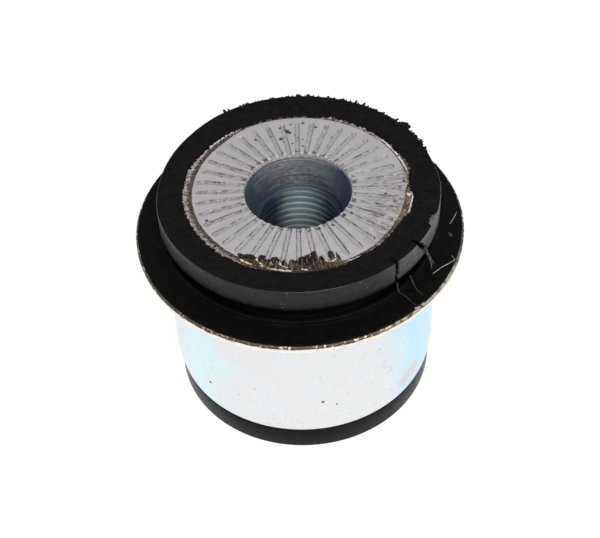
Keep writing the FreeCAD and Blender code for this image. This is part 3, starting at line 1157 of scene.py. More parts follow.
    def build(self) -> Piece:
        """Spins the core, coins its face and threads its bore."""
        turned = TurnedMesh(
            corners=self.corners(), closed=False, start=self.groove_turn,
            steps=self.groove_count * self.steps_a_groove,
        )
        turned.section(self.spacing)
        turned.spin()
        self.coin_face(turned)
        self.join_thread(turned)
        for face in turned.bm.faces:
            middle = face.calc_center_median()
            radius = middle.xy.length
            if middle.z > self.face - 0.55 and radius > self.mouth_radius - 0.12:
                face.material_index = CorePart.FACE
            elif radius < self.mouth_radius and middle.z > self.foot + 0.01:
                face.material_index = CorePart.BORE
            else:
                face.material_index = CorePart.SHANK
        materials = [CoinedZinc().material(), BoreZinc().material(), ShankZinc().material()]
        return finish_piece("core_steel", turned.bm, materials, "inner_core", crease=32.0)


@dataclass(frozen=True)
class Slit:
    """A slit torn into the ring's wall: its angle at the top, its lean, half width, depth and lower end."""

    angle: float
    lean: float
    half_width: float
    depth: float
    bottom: float


class RubberPart(IntEnum):
    """The parts of the rubber that differ in finish, in the order of its materials."""

    PLAIN = 0
    RING_SIDE = 1
    RECESS = 2
    FOOT = 3
    TORN = 4


RUBBER_FINISHES = {
    RubberPart.PLAIN: MouldedRubber(
        "rubber_matt", black=(0.0028, 0.0026, 0.0028), grey=(0.0065, 0.006, 0.0062), sheen=0.05,
        rough=(0.55, 0.8), dust=0.10,
    ),
    RubberPart.RING_SIDE: MouldedRubber(
        "rubber_gloss", black=(0.004, 0.004, 0.0044), grey=(0.009, 0.0085, 0.009), sheen=0.28,
        rough=(0.28, 0.42), dust=0.8, grain=0.02, bloom_sheen=0.10, fleck_share=0.4,
    ),
    # Darker than the plain rubber: painted shade on the lining, bead, recess and neck under the ring.
    RubberPart.RECESS: MouldedRubber(
        "rubber_recess_shade", black=(0.002, 0.002, 0.002), grey=(0.004, 0.0037, 0.0037), sheen=0.04,
        rough=(0.5, 0.7), dust=0.05,
    ),
    RubberPart.FOOT: MouldedRubber(
        "rubber_foot", black=(0.002, 0.0018, 0.0019), grey=(0.006, 0.005, 0.0046), sheen=0.08,
        rough=(0.28, 0.42), dust=0.5, grain=0.02, fleck_share=0.35,
    ),
    RubberPart.TORN: MouldedRubber(
        "rubber_torn", black=(0.003, 0.002, 0.002), grey=(0.013, 0.008, 0.006), sheen=0.05,
        rough=(0.5, 0.7), dust=0.2,
    ),
}


@dataclass
class RubberBody:
    """The moulded rubber: ring, neck, recess, bead, lining, wall, foot and the relief under it.

    Each zone of crowding gives its sweep in degrees and its share of the steps, from torn_from on.
    """

    head_thick: float = 4.0
    head_radius: float = 20.4
    ring_wall: float = 5.0
    ring_dish: float = 0.45
    ring_under_drop: float = 0.15
    ring_under_slope: float = 1.5
    ring_round: float = 0.9
    top_round: float = 0.18
    neck_round: float = 1.2
    shank_radius: float = 14.5
    shank_fillet: float = 1.5
    sleeve_inner: float = 23.7
    sleeve_bend: float = 2.7
    recess_width: float = 3.2
    recess_depth: float = 2.8
    recess_skin: float = 0.8
    recess_round: float = 1.0
    bead_radius: float = 25.3
    bead_width: float = 0.8
    bead_height: float = 0.9
    bead_round: float = 0.3
    lining_thick: float = 0.3
    lining_spread: float = 0.28
    foot_radius: float = 24.7
    foot_round: float = 0.3
    foot_chamfer: float = 0.5
    foot_gap: float = 0.35
    foot_gap_depth: float = 0.8
    relief_depth: float = 4.0
    relief_inner: float = 15.7
    relief_outer: float = 19.0
    relief_round: float = 1.0
    torn_from: float = 296.0
    crowding: tuple[tuple[float, float], ...] = ((54.0, 0.42), (24.0, 0.035), (110.0, 0.265), (172.0, 0.28))
    steps: int = 768
    arc_steps: int = 3
    slits: tuple[Slit, ...] = (Slit(309.4, 0.0, 0.40, 2.0, 38.6), Slit(322.2, 1.6, 0.46, 2.0, 39.4))
    slit_wall: float = 0.3
    notch_from: float = 333.0
    notch_to: float = 342.0
    notch_depth: float = 1.0
    notch_drop: float = 1.8
    ragged_from: float = 22.0
    ragged_to: float = 124.0
    ring_low: float = 38.0
    ring_side_low: float = 39.2
    ring_side_inner: float = 22.5
    recess_high: float = 39.4
    tear_low: float = 38.5
    tear_depth: float = 2.5
    shown_inner: float = 23.0
    bead_inner: float = 24.0
    foot_inner: float = 20.8
    level: float = 0.75
    ring_run: float = 0.36
    flange_run: float = 0.75
    hidden_run: float = 6.0

    def __post_init__(self) -> None:
        """Reads the heights from the frame."""
        high = node_span("rubber_body")[1]
        sleeve_low, sleeve_high = node_span("outer_sleeve")
        core_low, core_high = node_span("inner_core")
        self.ring_top = high.z
        self.ring_radius = self.head_radius + self.ring_wall
        self.lining_radius = high.x + self.lining_spread
        self.flange_top = sleeve_high.z
        self.sleeve_end = sleeve_low.z
        self.core_end = core_low.z
        self.face = core_high.z
        self.lining_top = self.flange_top + self.lining_thick

    def corners(self) -> list[Corner]:
        """Gives the section's corners, from the foot's underside up the outside and down the bore."""
        foot_top = self.sleeve_end - self.foot_gap
        gap_radius = self.foot_radius - self.foot_gap_depth
        bead_top = self.lining_top + self.bead_height
        recess_floor = self.flange_top - self.recess_depth
        neck_radius = self.sleeve_inner - self.recess_width
        head_under = self.face - self.head_thick
        ring_under = head_under - self.ring_under_drop
        shank_end = self.core_end + 0.6
        return [
            Corner(self.relief_outer, 0, 0.2),
            Corner(self.foot_radius, 0, self.foot_round),
            Corner(self.foot_radius, foot_top - self.foot_chamfer, 0.1),
            Corner(self.foot_radius - self.foot_chamfer, foot_top, 0.1),
            Corner(gap_radius, foot_top),
            Corner(gap_radius, self.sleeve_end),
            Corner(self.sleeve_inner, self.sleeve_end),
            Corner(self.sleeve_inner, self.flange_top, self.sleeve_bend),
            Corner(self.lining_radius, self.flange_top),
            Corner(self.lining_radius, self.lining_top, 0.12),
            Corner(self.bead_radius, self.lining_top, 0.25),
            Corner(self.bead_radius, bead_top, self.bead_round),
            Corner(self.bead_radius - self.bead_width, bead_top, self.bead_round),
            Corner(self.sleeve_inner - self.recess_skin, recess_floor, self.recess_round),
            Corner(neck_radius, recess_floor, self.recess_round),
            Corner(neck_radius, ring_under - self.ring_under_slope, self.neck_round),
            Corner(self.ring_radius, ring_under, self.ring_round),
            Corner(self.ring_radius, self.ring_top, self.top_round),
            Corner(self.head_radius, self.ring_top - self.ring_dish, 0.12),
            Corner(self.head_radius, head_under),
            Corner(self.shank_radius, head_under, self.shank_fillet),
            Corner(self.shank_radius, shank_end),
            Corner(self.relief_inner, shank_end),
            Corner(self.relief_inner, self.relief_depth, self.relief_round),
            Corner(self.relief_outer, self.relief_depth, self.relief_round),
        ]

    def spacing(self, place: Vector) -> float:
        """Gives the longest run of the section near a point: short on the ring, long where nothing shows."""
        ring = place.z > self.ring_low and place.x > self.head_radius - 0.05
        if ring and (place.x > self.shown_inner or place.z > self.face - 0.6):
            return self.ring_run
        if self.flange_top < place.z < self.ring_low and place.x > self.shown_inner:
            return self.flange_run
        return self.hidden_run

    def crowd_steps(self, place: Place) -> None:
        """Turns evenly spaced steps so that the torn and the ragged sides have more of them."""
        share = (place.angle - self.torn_from) % FULL_TURN / FULL_TURN
        turn = self.torn_from
        for zone_sweep, zone_share in self.crowding:
            turn += min(share / zone_share, 1.0) * zone_sweep
            share = max(share - zone_share, 0.0)
        place.angle = turn

    def slack(self, angle: float) -> float:
        """Gives how far the ring's outside falls short of a true circle at an angle."""
        return 0.4 * between(angle, 132.0, 182.0, 14.0) + 0.3 * between(angle, 4.0, 28.0, 8.0)

    def wear_ring(self, place: Place) -> None:
        """Makes the ring's edges ragged and cuts its slits and its notch."""
        outer = smooth_step(self.ring_radius - 0.9, self.ring_radius - 0.1, place.radius)
        upper = smooth_step(self.ring_top - 0.9, self.ring_top - 0.1, place.height)
        place.height -= 0.05 * upper * wear_at(place, 2.5, 1.0)
        torn = smooth_step(self.ragged_from - 8, self.ragged_from, place.angle)
        torn *= 1 - smooth_step(self.ragged_to - 30, self.ragged_to, place.angle)
        coarse = roughness_at(place, 0.55, 7.0)
        fine = roughness_at(place, 0.3, 9.0)
        place.radius += outer * upper * torn * max(0.0, 0.75 * coarse + 0.4 * fine - 0.08)
        place.radius -= outer * self.slack(place.angle)
        place.radius -= outer * 0.05 * wear_at(place, 1.8, 2.0)
        inner = 1 - smooth_step(self.head_radius, self.head_radius + 0.5, place.radius)
        inner *= smooth_step(self.face - 0.5, self.face + 0.3, place.height)
        place.radius += inner * max(0.0, 0.16 + 0.34 * roughness_at(place, 0.7, 4.0) + 0.18 * fine)
        for slit in self.slits:
            self.cut_slit(place, slit, coarse)
        self.tear_notch(place, coarse, fine)

    def cut_slit(self, place: Place, slit: Slit, ragged: float) -> None:
        """Moves the wall inwards inside a slit.

        Args:
            place: A place on the ring, which is moved.
            slit: The slit.
            ragged: A random value of about -1 to 1 that varies the slit's width.
        """
        if place.height < slit.bottom:
            return
        middle = slit.angle + slit.lean * (self.ring_top - place.height)
        middle += 0.45 * noise.noise(Vector((slit.angle, place.height * 1.1, 0.0)))
        reach = abs(place.across(middle)) / (slit.half_width * (1 + 0.8 * ragged))
        fade = smooth_step(slit.bottom, slit.bottom + 1.2, place.height)
        if reach < 1:
            place.radius = min(place.radius, self.ring_radius - slit.depth * fade * (1 - reach ** 1.5))

    def tear_notch(self, place: Place, coarse: float, fine: float) -> None:
        """Tears the ragged notch out of the ring's upper edge.

        Args:
            place: A place on the ring, which is moved.
            coarse: A random value of about -1 to 1 for the notch's larger teeth.
            fine: A random value of about -1 to 1 for its smaller teeth.
        """
        inside = smooth_step(self.notch_from, self.notch_from + 1.5, place.angle)
        inside *= 1 - smooth_step(self.notch_to - 3.5, self.notch_to, place.angle)
        below_top = (self.ring_top - place.height) / self.notch_drop
        if inside <= 0 or below_top > 1:
            return
        depth = self.notch_depth * inside * (1 - max(below_top, 0.0)) * (1 + 0.5 * coarse + 0.25 * fine)
        place.radius = min(place.radius, self.ring_radius - depth)

    def wear(self, place: Place) -> None:
        """Wears every visible edge of the rubber by its own amount."""
        if place.height > self.ring_low and place.radius > self.head_radius - 0.02:
            self.wear_ring(place)
        elif place.height > self.flange_top - 0.01 and place.radius > self.bead_radius + 2.0:
            edge = smooth_step(self.lining_radius - 0.4, self.lining_radius, place.radius)
            ragged = wear_at(place, 0.9, 6.0) + 0.5 * roughness_at(place, 0.35, 8.0)
            place.radius -= edge * 0.16 * max(0.0, ragged)
            if place.height > self.flange_top + 0.05:
                place.height -= 0.06 * wear_at(place, 1.7, 3.0)
        elif place.height > self.lining_top + 0.1 and place.radius > self.bead_inner:
            place.height -= 0.16 * wear_at(place, 3.0, 2.0)
        elif place.radius > self.foot_inner and self.foot_round < place.height < self.sleeve_end:
            place.radius -= 0.06 * wear_at(place, 2.0, 5.0)

    def part_of(self, face: bmesh.types.BMFace) -> RubberPart:
        """Gives the part of the rubber that a face belongs to."""
        middle = face.calc_center_median()
        radius = middle.xy.length
        upright = abs(face.normal.z) < self.level
        in_wall = self.ring_radius - self.tear_depth < radius < self.ring_radius - self.slit_wall
        if in_wall and upright and middle.z > self.tear_low:
            if self.torn_from < Place.of(middle).angle < self.notch_from - 2:
                return RubberPart.TORN
        if upright and middle.z > self.ring_side_low and radius > self.ring_side_inner:
            return RubberPart.RING_SIDE
        if self.sleeve_end < middle.z < self.recess_high:
            return RubberPart.RECESS
        return RubberPart.FOOT if middle.z < self.sleeve_end else RubberPart.PLAIN

    def build(self) -> Piece:
        """Spins the rubber, with more steps where it is torn, and wears its edges."""
        turned = TurnedMesh(self.corners(), self.steps, start=self.torn_from, arc_steps=self.arc_steps)
        turned.section(self.spacing)
        turned.spin()
        turned.shape(self.crowd_steps)
        turned.shape(self.wear)
        for face in turned.bm.faces:
            face.material_index = self.part_of(face)
        materials = [RUBBER_FINISHES[part].material() for part in RubberPart]
        return finish_piece("rubber_moulding", turned.bm, materials, "rubber_body", crease=40.0)


@dataclass
class BondRing:
    """The crumbly film that fills the trough between the face and the ring."""

    inner: float = 19.6
    outer: float = 20.75
    rise: float = 0.34
    dip: float = 0.16
    crumble: float = 0.24
    calm_share: float = 0.4
    left_reach: float = 0.68
    right_reach: float = 0.6
    front_reach: float = 0.35
    steps: int = 1152
    run: float = 0.1
    hidden_run: float = 2.0

    def reach_in(self, angle: float) -> float:
        """Gives how far the film spreads inwards over the face at an angle."""
        left = self.left_reach * between(angle, 126.0, 232.0, 12.0)
        right = self.right_reach * between(angle, 316.0, 358.0, 5.0)
        return left + right + self.front_reach * between(angle, 232.0, 316.0, 6.0)

    def build(self) -> Piece:
        """Spins a shallow trough with a hidden back, and roughens it."""
        face = node_span("inner_core")[1].z
        turned = TurnedMesh(
            corners=[
                Corner(self.inner, face - 0.45),
                Corner(self.outer, face - 0.45),
                Corner(self.outer, face + self.rise),
                Corner(self.inner, face - 0.02),
            ],
            steps=self.steps,
        )

        def spacing(place: Vector) -> float:
            """Gives the longest run of the section near a point: short where it shows."""
            shown = place.z > face - 0.2 and place.x < self.outer - 0.05
            return self.run if shown else self.hidden_run

        turned.section(spacing)
        turned.spin()
        crest = turned.bm.verts.layers.float.new(DirtAndLight.CREST.value)
        top = node_span("rubber_body")[1].z - 0.02
        for vert in turned.bm.verts:
            if vert.co.z < face - 0.4:
                continue
            place = Place.of(vert.co)
            share = (place.radius - self.inner) / (self.outer - self.inner)
            lump = 0.6 * roughness_at(place, 0.75, 12.0) + 0.55 * roughness_at(place, 0.33, 14.0)
            lump *= self.calm_share + (1 - self.calm_share) * between(place.angle, 150.0, 236.0, 8.0)
            place.height += self.crumble * lump * smooth_step(0.1, 0.5, share)
            place.radius -= (1 - share) * self.reach_in(place.angle)
            place.height -= self.dip * math.sin(math.pi * min(share * 1.4, 1.0))
            place.radius += 0.12 * roughness_at(place, 0.6, 15.0)
            if share > 0.02 and place.radius < self.inner + 0.05:
                place.height = max(place.height, face + 0.05 + 0.04 * roughness_at(place, 0.5, 16.0))
            place.height = min(place.height, top)
            # Marks the crests of the crumbs, which carry a painted cream highlight in the film's finish.
            vert[crest] = smooth_step(0.1, 0.45, lump) * smooth_step(0.2, 0.55, share)
            vert.co = place.point()
        return finish_piece("bond_film_ring", turned.bm, [BondFilm().material()], crease=180.0)


@dataclass(frozen=True)
class Blob:
    """A lump of flash: its angle and radius, its half lengths along and across the circle, and its height."""

    angle: float
    radius: float
    along: float
    across: float
    height: float


@dataclass
class FaceFlash:
    """The torn rubber flash that lies over the groove ends at the front of the face.

    The lights are lines of folds that catch the light and carry a painted highlight, each given by the angle
    and radius of its points.
    """

    start: float = 234.0
    sweep: float = 60.0
    inner: float = 15.6
    outer: float = 20.7
    steps: int = 460
    rows: float = 0.085
    blobs: tuple[Blob, ...] = (
        Blob(238.6, 18.85, 1.1, 0.55, 0.42), Blob(242.6, 18.35, 1.2, 0.62, 0.5),
        Blob(248.1, 17.8, 0.7, 0.8, 0.5), Blob(251.6, 18.3, 0.5, 0.6, 0.32),
        Blob(255.9, 17.75, 0.8, 0.8, 0.5), Blob(260.6, 18.2, 0.5, 0.7, 0.36),
        Blob(265.4, 17.95, 0.75, 0.6, 0.42), Blob(270.2, 17.6, 0.6, 1.0, 0.5),
        Blob(273.8, 17.7, 0.7, 1.3, 0.5), Blob(277.6, 17.2, 0.55, 1.5, 0.42),
        Blob(281.4, 17.9, 0.45, 1.1, 0.4), Blob(287.4, 17.3, 0.45, 1.0, 0.34),
        Blob(290.2, 18.2, 0.4, 1.0, 0.3),
    )
    lights: tuple[tuple[tuple[float, float], ...], ...] = (
        ((281.6, 17.2), (283.4, 18.5), (285.4, 19.1), (288.2, 18.6), (289.0, 17.6)),
        ((249.0, 19.75), (254.0, 19.95), (259.5, 20.05), (264.8, 20.1)),
        ((270.2, 19.7), (272.6, 19.95)),
        ((246.2, 18.6), (247.6, 19.2), (250.6, 19.3)),
        ((258.4, 18.4), (259.6, 19.1), (262.6, 19.3)),
        ((238.0, 19.7), (241.5, 19.9), (244.5, 19.9)),
    )
    light_reach: float = 0.16

    def lump(self, place: Place) -> float:
        """Gives the height of the highest blob at a place."""
        wander = 0.3 * roughness_at(place, 0.7, 22.0) + 0.22 * roughness_at(place, 0.28, 25.0)
        highest = 0.0
        for blob in self.blobs:
            outwards = place.radius - blob.radius
            reach = math.hypot(place.across(blob.angle) / blob.along, outwards / blob.across)
            highest = max(highest, blob.height * math.sqrt(max(0.0, 1 - (reach + wander) ** 2)))
        return highest

    def sheet(self, place: Place) -> float:
        """Gives the height of the folded sheet behind the blobs."""
        inner_edge = 18.35 + 0.5 * roughness_at(place, 1.6, 21.0)
        inner_edge += 0.6 * noise.noise(Vector((place.angle * 0.9, 0.35 * place.radius, 26.0)))
        body = smooth_step(inner_edge - 0.1, inner_edge + 0.12, place.radius)
        body *= between(place.angle, self.start + 4.0, self.start + self.sweep - 4.0, 1.6)
        fold = roughness_at(Place(place.radius * 1.6, place.angle * 0.5, 0.0), 0.8, 23.0)
        return body * (0.16 + 0.34 * abs(fold) + 0.06 * roughness_at(place, 0.4, 24.0))

    def light(self, place: Place) -> float:
        """Gives 1 on a fold that catches the light, fading to its sides."""
        point = place.point().xy
        nearest = self.outer
        for line in self.lights:
            corners = [polar(radius, angle, 0.0).xy for angle, radius in line]
            for first, last in zip(corners, corners[1:]):
                run = last - first
                share = min(max((point - first).dot(run) / run.length_squared, 0.0), 1.0)
                nearest = min(nearest, (first + run * share - point).length)
        nearest += 0.16 * roughness_at(place, 0.5, 27.0)
        return 1 - smooth_step(self.light_reach * 0.4, self.light_reach, nearest)

    def build(self) -> Piece:
        """Spins a strip over the face, raises its lumps and gives it a thickness."""
        face = node_span("inner_core")[1].z
        bm = bmesh.new()
        first = bm.verts.new((self.inner, 0, face))
        last = bm.verts.new((self.outer, 0, face))
        line = bm.edges.new((first, last))
        cuts = math.ceil((self.outer - self.inner) / self.rows)
        bmesh.ops.subdivide_edges(bm, edges=[line], cuts=cuts)
        rotate_round(bm, bm.verts[:], self.start)
        spin_round(bm, bm.verts[:] + bm.edges[:], self.sweep, self.steps)
        crest = bm.verts.layers.float.new(DirtAndLight.CREST.value)
        lumps = bm.verts.layers.float.new(DirtAndLight.LUMP.value)
        for vert in bm.verts:
            place = Place.of(vert.co)
            lump, sheet = self.lump(place), self.sheet(place)
            light = self.light(place)
            lift = max(lump, sheet)
            lift += 0.1 * light if lift > 0.05 else 0.0
            # The folds that catch the light carry a painted cream highlight in the finish.
            vert[crest] = light if lift > 0.05 else 0.0
            vert[lumps] = smooth_step(0.0, 0.12, lump - 0.6 * sheet)
            vert.co.z = min(face + lift, face + 0.7) if lift > 0.02 else face - 0.15
        buried = [f for f in bm.faces if all(v.co.z < face - 0.1 for v in f.verts)]
        bmesh.ops.delete(bm, geom=buried, context="FACES")
        bmesh.ops.recalc_face_normals(bm, faces=bm.faces)
        if sum(f.normal.z for f in bm.faces) < 0:
            bmesh.ops.reverse_faces(bm, faces=bm.faces)
        bmesh.ops.solidify(bm, geom=bm.faces[:], thickness=0.12)
        materials = [FaceFlashRubber().material()]
        return finish_piece("face_flash_rubber", bm, materials, crease=180.0)


@dataclass
class RingTags:
    """Small torn tags of flash along the ring's upper edge at the back.

    The named tags are given by their angle and size, and the rest are drawn at random.
    """

    count: int = 46
    named: tuple[tuple[float, float], ...] = (
        (121.0, 0.46), (119.2, 0.34), (88.2, 0.46), (87.4, 0.3), (83.8, 0.42), (75.0, 0.32), (68.5, 0.4),
        (62.7, 0.4), (59.1, 0.44), (56.8, 0.3), (49.0, 0.26), (42.0, 0.34), (38.9, 0.62), (37.4, 0.7),
        (36.0, 0.66), (31.0, 0.3), (26.0, 0.46), (24.6, 0.34), (21.0, 0.26), (9.6, 0.24),
    )
    reach_out: float = 0.55
    seed: int = 11

    def build(self) -> Piece:
        """Grows each tag from a small ball, pulled outwards and crumpled."""
        top = node_span("rubber_body")[1].z
        body = RubberBody()
        draw = random.Random(self.seed)
        tags = list(self.named)
        tags += [(draw.uniform(20.0, 114.0), draw.uniform(0.1, 0.22)) for _ in range(self.count)]
        bm = bmesh.new()
        for angle, size in tags:
            made = bmesh.ops.create_icosphere(bm, subdivisions=2, radius=size)["verts"]
            stretch = Vector((draw.uniform(0.9, 1.7), draw.uniform(0.5, 1.0), draw.uniform(0.5, 0.8)))
            bmesh.ops.scale(bm, vec=stretch, verts=made)
            for vert in made:
                vert.co *= 1 + 0.5 * noise.noise(vert.co * (2.2 / size) + Vector((angle, 0, size)))
            rotate_round(bm, made, angle)
            radius = body.ring_radius - body.slack(angle) + self.reach_out * size
            bmesh.ops.translate(bm, verts=made, vec=polar(radius, angle, top - 0.6 * size - 0.05))
            for vert in made:
                vert.co.z = min(vert.co.z, top - 0.01)
        finish = MouldedRubber(
            "rubber_tags", black=(0.004, 0.004, 0.004), grey=(0.012, 0.009, 0.009), sheen=0.08,
            rough=(0.5, 0.8), dust=0.2,
        )
        return finish_piece("ring_flash_tags", bm, [finish.material()], crease=180.0)


class Tone(Enum):
    """How dusty a torn strand is."""

    DARK = "torn_strands"
    GREY = "torn_flaps"
    PALE = "dusty_strands"


@dataclass(frozen=True)
class Strand:
    """A torn strand: its points as radius, angle and height, its thickness at each end, and its tone."""

    points: Places
    thick: float
    thin: float
    tone: Tone


@dataclass
class TornStrands:
    """The strands and flaps that hang from the torn side of the ring."""

    strands: tuple[Strand, ...] = (
        Strand((
            (27.3, 326.8, 36.15), (28.0, 329.6, 36.7), (28.8, 332.2, 36.8), (29.3, 333.9, 36.7),
            (29.6, 336.1, 36.4),
        ), 0.06, 0.055, Tone.PALE),
        Strand(((28.7, 337.5, 36.3), (29.4, 336.9, 36.5), (29.5, 335.2, 36.4)), 0.06, 0.05, Tone.PALE),
        Strand((
            (27.4, 354.2, 36.1), (27.7, 355.0, 36.4), (28.4, 358.0, 36.5), (28.7, 359.4, 36.5),
        ), 0.07, 0.04, Tone.PALE),
        Strand(((27.2, 349.0, 36.1), (27.5, 348.4, 36.35), (27.9, 347.3, 36.15)), 0.11, 0.07, Tone.GREY),
        Strand(((27.4, 347.6, 36.1), (27.6, 348.0, 36.25), (27.8, 348.8, 36.1)), 0.08, 0.05, Tone.GREY),
        Strand((
            (25.0, 329.4, 40.4), (25.16, 331.1, 38.4), (25.7, 331.4, 37.4), (26.5, 331.5, 36.35),
        ), 0.30, 0.12, Tone.GREY),
        Strand((
            (25.1, 330.6, 38.9), (25.6, 330.7, 37.9), (26.1, 330.2, 37.0), (26.6, 328.8, 36.2),
        ), 0.26, 0.09, Tone.GREY),
        Strand((
            (25.1, 317.9, 38.0), (26.3, 316.7, 36.9), (27.4, 315.9, 36.5), (28.6, 316.1, 36.2),
        ), 0.15, 0.09, Tone.DARK),
        Strand((
            (24.9, 310.6, 38.6), (25.4, 309.6, 37.0), (26.5, 311.0, 36.6), (28.0, 310.7, 36.4),
            (29.5, 310.9, 36.2),
        ), 0.20, 0.09, Tone.DARK),
        Strand(((29.5, 310.0, 36.0), (29.8, 310.8, 36.1), (29.8, 311.6, 36.0)), 0.16, 0.12, Tone.PALE),
        Strand(((29.7, 312.6, 36.05), (29.75, 313.3, 36.1), (29.75, 314.2, 36.05)), 0.12, 0.08, Tone.PALE),
        Strand(((29.5, 311.4, 36.1), (29.8, 312.0, 36.0), (29.85, 312.6, 35.8)), 0.14, 0.12, Tone.DARK),
    )

    def build(self) -> list[Piece]:
        """Draws each strand as a tapered curve and joins those of one tone into a mesh."""
        finishes = {
            Tone.DARK: MouldedRubber(
                "rubber_strands", black=(0.010, 0.010, 0.010), grey=(0.034, 0.03, 0.03), sheen=0.12,
                rough=(0.4, 0.6), dust=0.3,
            ),
            Tone.GREY: MouldedRubber(
                "rubber_flaps", black=(0.03, 0.029, 0.029), grey=(0.11, 0.105, 0.10), sheen=0.12,
                rough=(0.4, 0.6), dust=0.3,
            ),
            Tone.PALE: MouldedRubber(
                "rubber_dusty", black=(0.24, 0.23, 0.23), grey=(0.46, 0.44, 0.43), sheen=0.4,
                rough=(0.35, 0.6), dust=0.3,
            ),
        }
        pieces = []
        for tone, finish in finishes.items():
            bm = bmesh.new()
            for strand in self.strands:
                if strand.tone is tone:
                    self.add_strand(bm, strand)
            bmesh.ops.recalc_face_normals(bm, faces=bm.faces)
            pieces.append(finish_piece(tone.value, bm, [finish.material()], crease=180.0))
        return pieces

    def add_strand(self, bm: MeshEdit, strand: Strand) -> None:
        """Adds one strand's tube to a mesh."""
        curve = bpy.data.curves.new("strand_line", "CURVE")
        curve.dimensions = "3D"
        curve.bevel_depth = 1.0
        curve.bevel_resolution = 3
        curve.resolution_u = 10
        curve.use_fill_caps = True
        line = curve.splines.new("NURBS")
        line.points.add(len(strand.points) - 1)
        for index, (radius, angle, height) in enumerate(strand.points):
            share = index / (len(strand.points) - 1)
            line.points[index].co = (*polar(radius, angle, height), 1.0)
            line.points[index].radius = strand.thick + (strand.thin - strand.thick) * share
        line.order_u = 3
        line.use_endpoint_u = True
        carrier = bpy.data.objects.new("strand_carrier", curve)
        mesh = bpy.data.meshes.new_from_object(carrier)
        start = len(bm.verts)
        bm.from_mesh(mesh)
        bm.verts.ensure_lookup_table()
        for vert in bm.verts[start:]:
            place = Place.of(vert.co)
            vert.co += Vector((1, 1, 1)) * (0.35 * strand.thick * roughness_at(place, 0.5, 31.0))
        bpy.data.objects.remove(carrier)
        bpy.data.curves.remove(curve)
        bpy.data.meshes.remove(mesh)


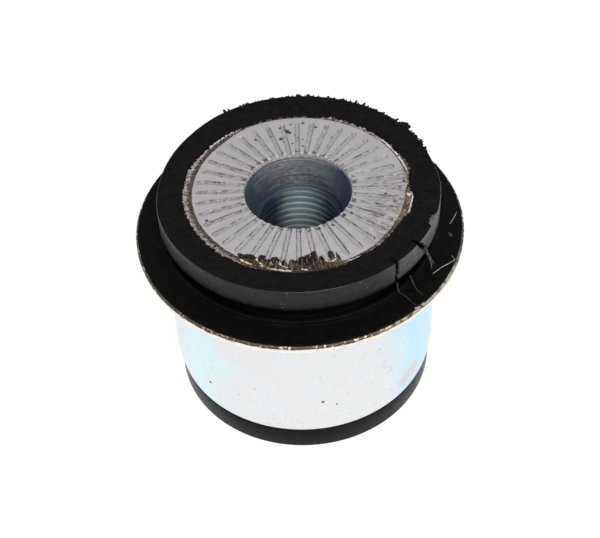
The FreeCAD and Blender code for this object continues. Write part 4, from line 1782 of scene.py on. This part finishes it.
@dataclass
class Studio:
    """The pale floor, the soft lamps, the even world and the camera at the photograph's place.

    The floor's glow is hidden under the mount, up to hidden_from, and is full past hidden_to: a painted
    shadow under the mount.
    """

    camera_place: Triple = (0.0, -162.585, 197.008)
    pitch_down: float = 46.951
    roll: float = -2.777
    yaw: float = -0.117
    lens: float = 75.0
    floor_reach: float = 900.0
    floor_tone: Colour = (0.84, 0.82, 0.79)
    glow_strength: float = 1.1
    glow_share: float = 0.85
    hidden_from: float = 12.0
    hidden_to: float = 21.0
    world_level: float = 0.17
    white: float = 1.0

    def build(self) -> None:
        """Sets up everything that isn't the object."""
        self.add_floor()
        self.add_world()
        self.add_lamp("key_softbox", (70.0, -300.0, 380.0), 260.0, 2.2)
        self.add_lamp("side_softbox", (420.0, -80.0, 220.0), 260.0, 0.35)
        self.add_camera()
        bpy.context.scene.view_settings.view_transform = "Standard"

    def seen_directly(self, nodes: Nodes) -> Value:
        """Gives 1 for camera, glossy and transmission rays."""
        total = nodes.add("LightPath", {}, "Is Camera Ray")
        path = total.socket.node
        for name in ("Is Glossy Ray", "Is Transmission Ray"):
            total = nodes.math("MAXIMUM", total, Value(nodes, path.outputs[name]))
        return total

    def add_floor(self) -> None:
        """Adds the floor, white to the camera and to reflections, with the object's faint shadow.

        Under the mount its glow is left out, which paints a shadow there.
        """
        bm = bmesh.new()
        bmesh.ops.create_circle(bm, cap_ends=True, segments=96, radius=self.floor_reach * MM)
        mesh = bpy.data.meshes.new("floor")
        bm.to_mesh(mesh)
        bm.free()
        material = bpy.data.materials.new("pale_floor")
        material.use_nodes = True
        nodes = Nodes(material.node_tree)
        shader = nodes.tree.nodes["Principled BSDF"]
        nodes.put(self.floor_tone, shader.inputs["Base Color"])
        shader.inputs["Roughness"].default_value = 0.9
        shader.inputs["Specular IOR Level"].default_value = 0.0
        glow = nodes.add("Emission", {"Strength": self.glow_strength})
        place = nodes.add("TexCoord", {}, "Object")
        reach = nodes.add("VectorMath", {0: place}, "Value", operation="LENGTH")
        # The glow is left out under the mount: a painted shadow there.
        glow_outside_shadow = nodes.add("MapRange", {
            "Value": reach, "From Min": self.hidden_from * MM, "From Max": self.hidden_to * MM,
            "To Max": self.glow_share,
        })
        share = self.seen_directly(nodes) * glow_outside_shadow
        blend = nodes.add("MixShader", {0: share, 1: Value(nodes, shader.outputs["BSDF"]), 2: glow})
        nodes.put(blend, nodes.tree.nodes["Material Output"].inputs["Surface"])
        mesh.materials.append(material)
        add_object("floor", mesh)

    def add_world(self) -> None:
        """Lights the scene evenly, with a world that is white to the camera and to reflections."""
        world = bpy.data.worlds.new("studio")
        bpy.context.scene.world = world
        world.use_nodes = True
        nodes = Nodes(world.node_tree)
        background = nodes.tree.nodes["Background"]
        background.inputs["Color"].default_value = (1.0, 1.0, 1.0, 1.0)
        seen = self.seen_directly(nodes)
        level = nodes.add("MapRange", {"Value": seen, "To Min": self.world_level, "To Max": self.white})
        nodes.put(level, background.inputs["Strength"])

    def add_lamp(self, name: str, place: Triple, size: float, watts: float) -> None:
        """Adds a square soft lamp that faces the mount.

        Args:
            name: The lamp's name.
            place: Its place in millimetres.
            size: The length of its sides in millimetres.
            watts: Its power.
        """
        light = bpy.data.lights.new(name, "AREA")
        light.shape = "SQUARE"
        light.size = size * MM
        light.energy = watts
        lamp = add_object(name, light)
        lamp.location = Vector(place) * MM
        lamp.rotation_euler = (Vector((0, 0, 20)) - Vector(place)).to_track_quat("-Z", "Y").to_euler()

    def add_camera(self) -> None:
        """Stands the camera at the place and turn that the photograph was taken from."""
        data = bpy.data.cameras.new("camera")
        data.lens = self.lens
        data.clip_start = 0.01
        camera = add_object("camera", data)
        turn = Matrix.Rotation(math.radians(-self.yaw), 4, "Z")
        turn @= Matrix.Rotation(math.radians(90 - self.pitch_down), 4, "X")
        turn @= Matrix.Rotation(math.radians(self.roll), 4, "Z")
        camera.matrix_world = Matrix.Translation(Vector(self.camera_place) * MM) @ turn
        bpy.context.scene.camera = camera


def main() -> None:
    """Builds the mount's pieces and the studio, and reports each piece."""
    logging.basicConfig(level=logging.INFO, format="%(message)s")
    OuterSleeve().build()
    InnerCore().build()
    RubberBody().build()
    BondRing().build()
    FaceFlash().build()
    RingTags().build()
    TornStrands().build()
    Studio().build()


if __name__ == "__main__":
    main()
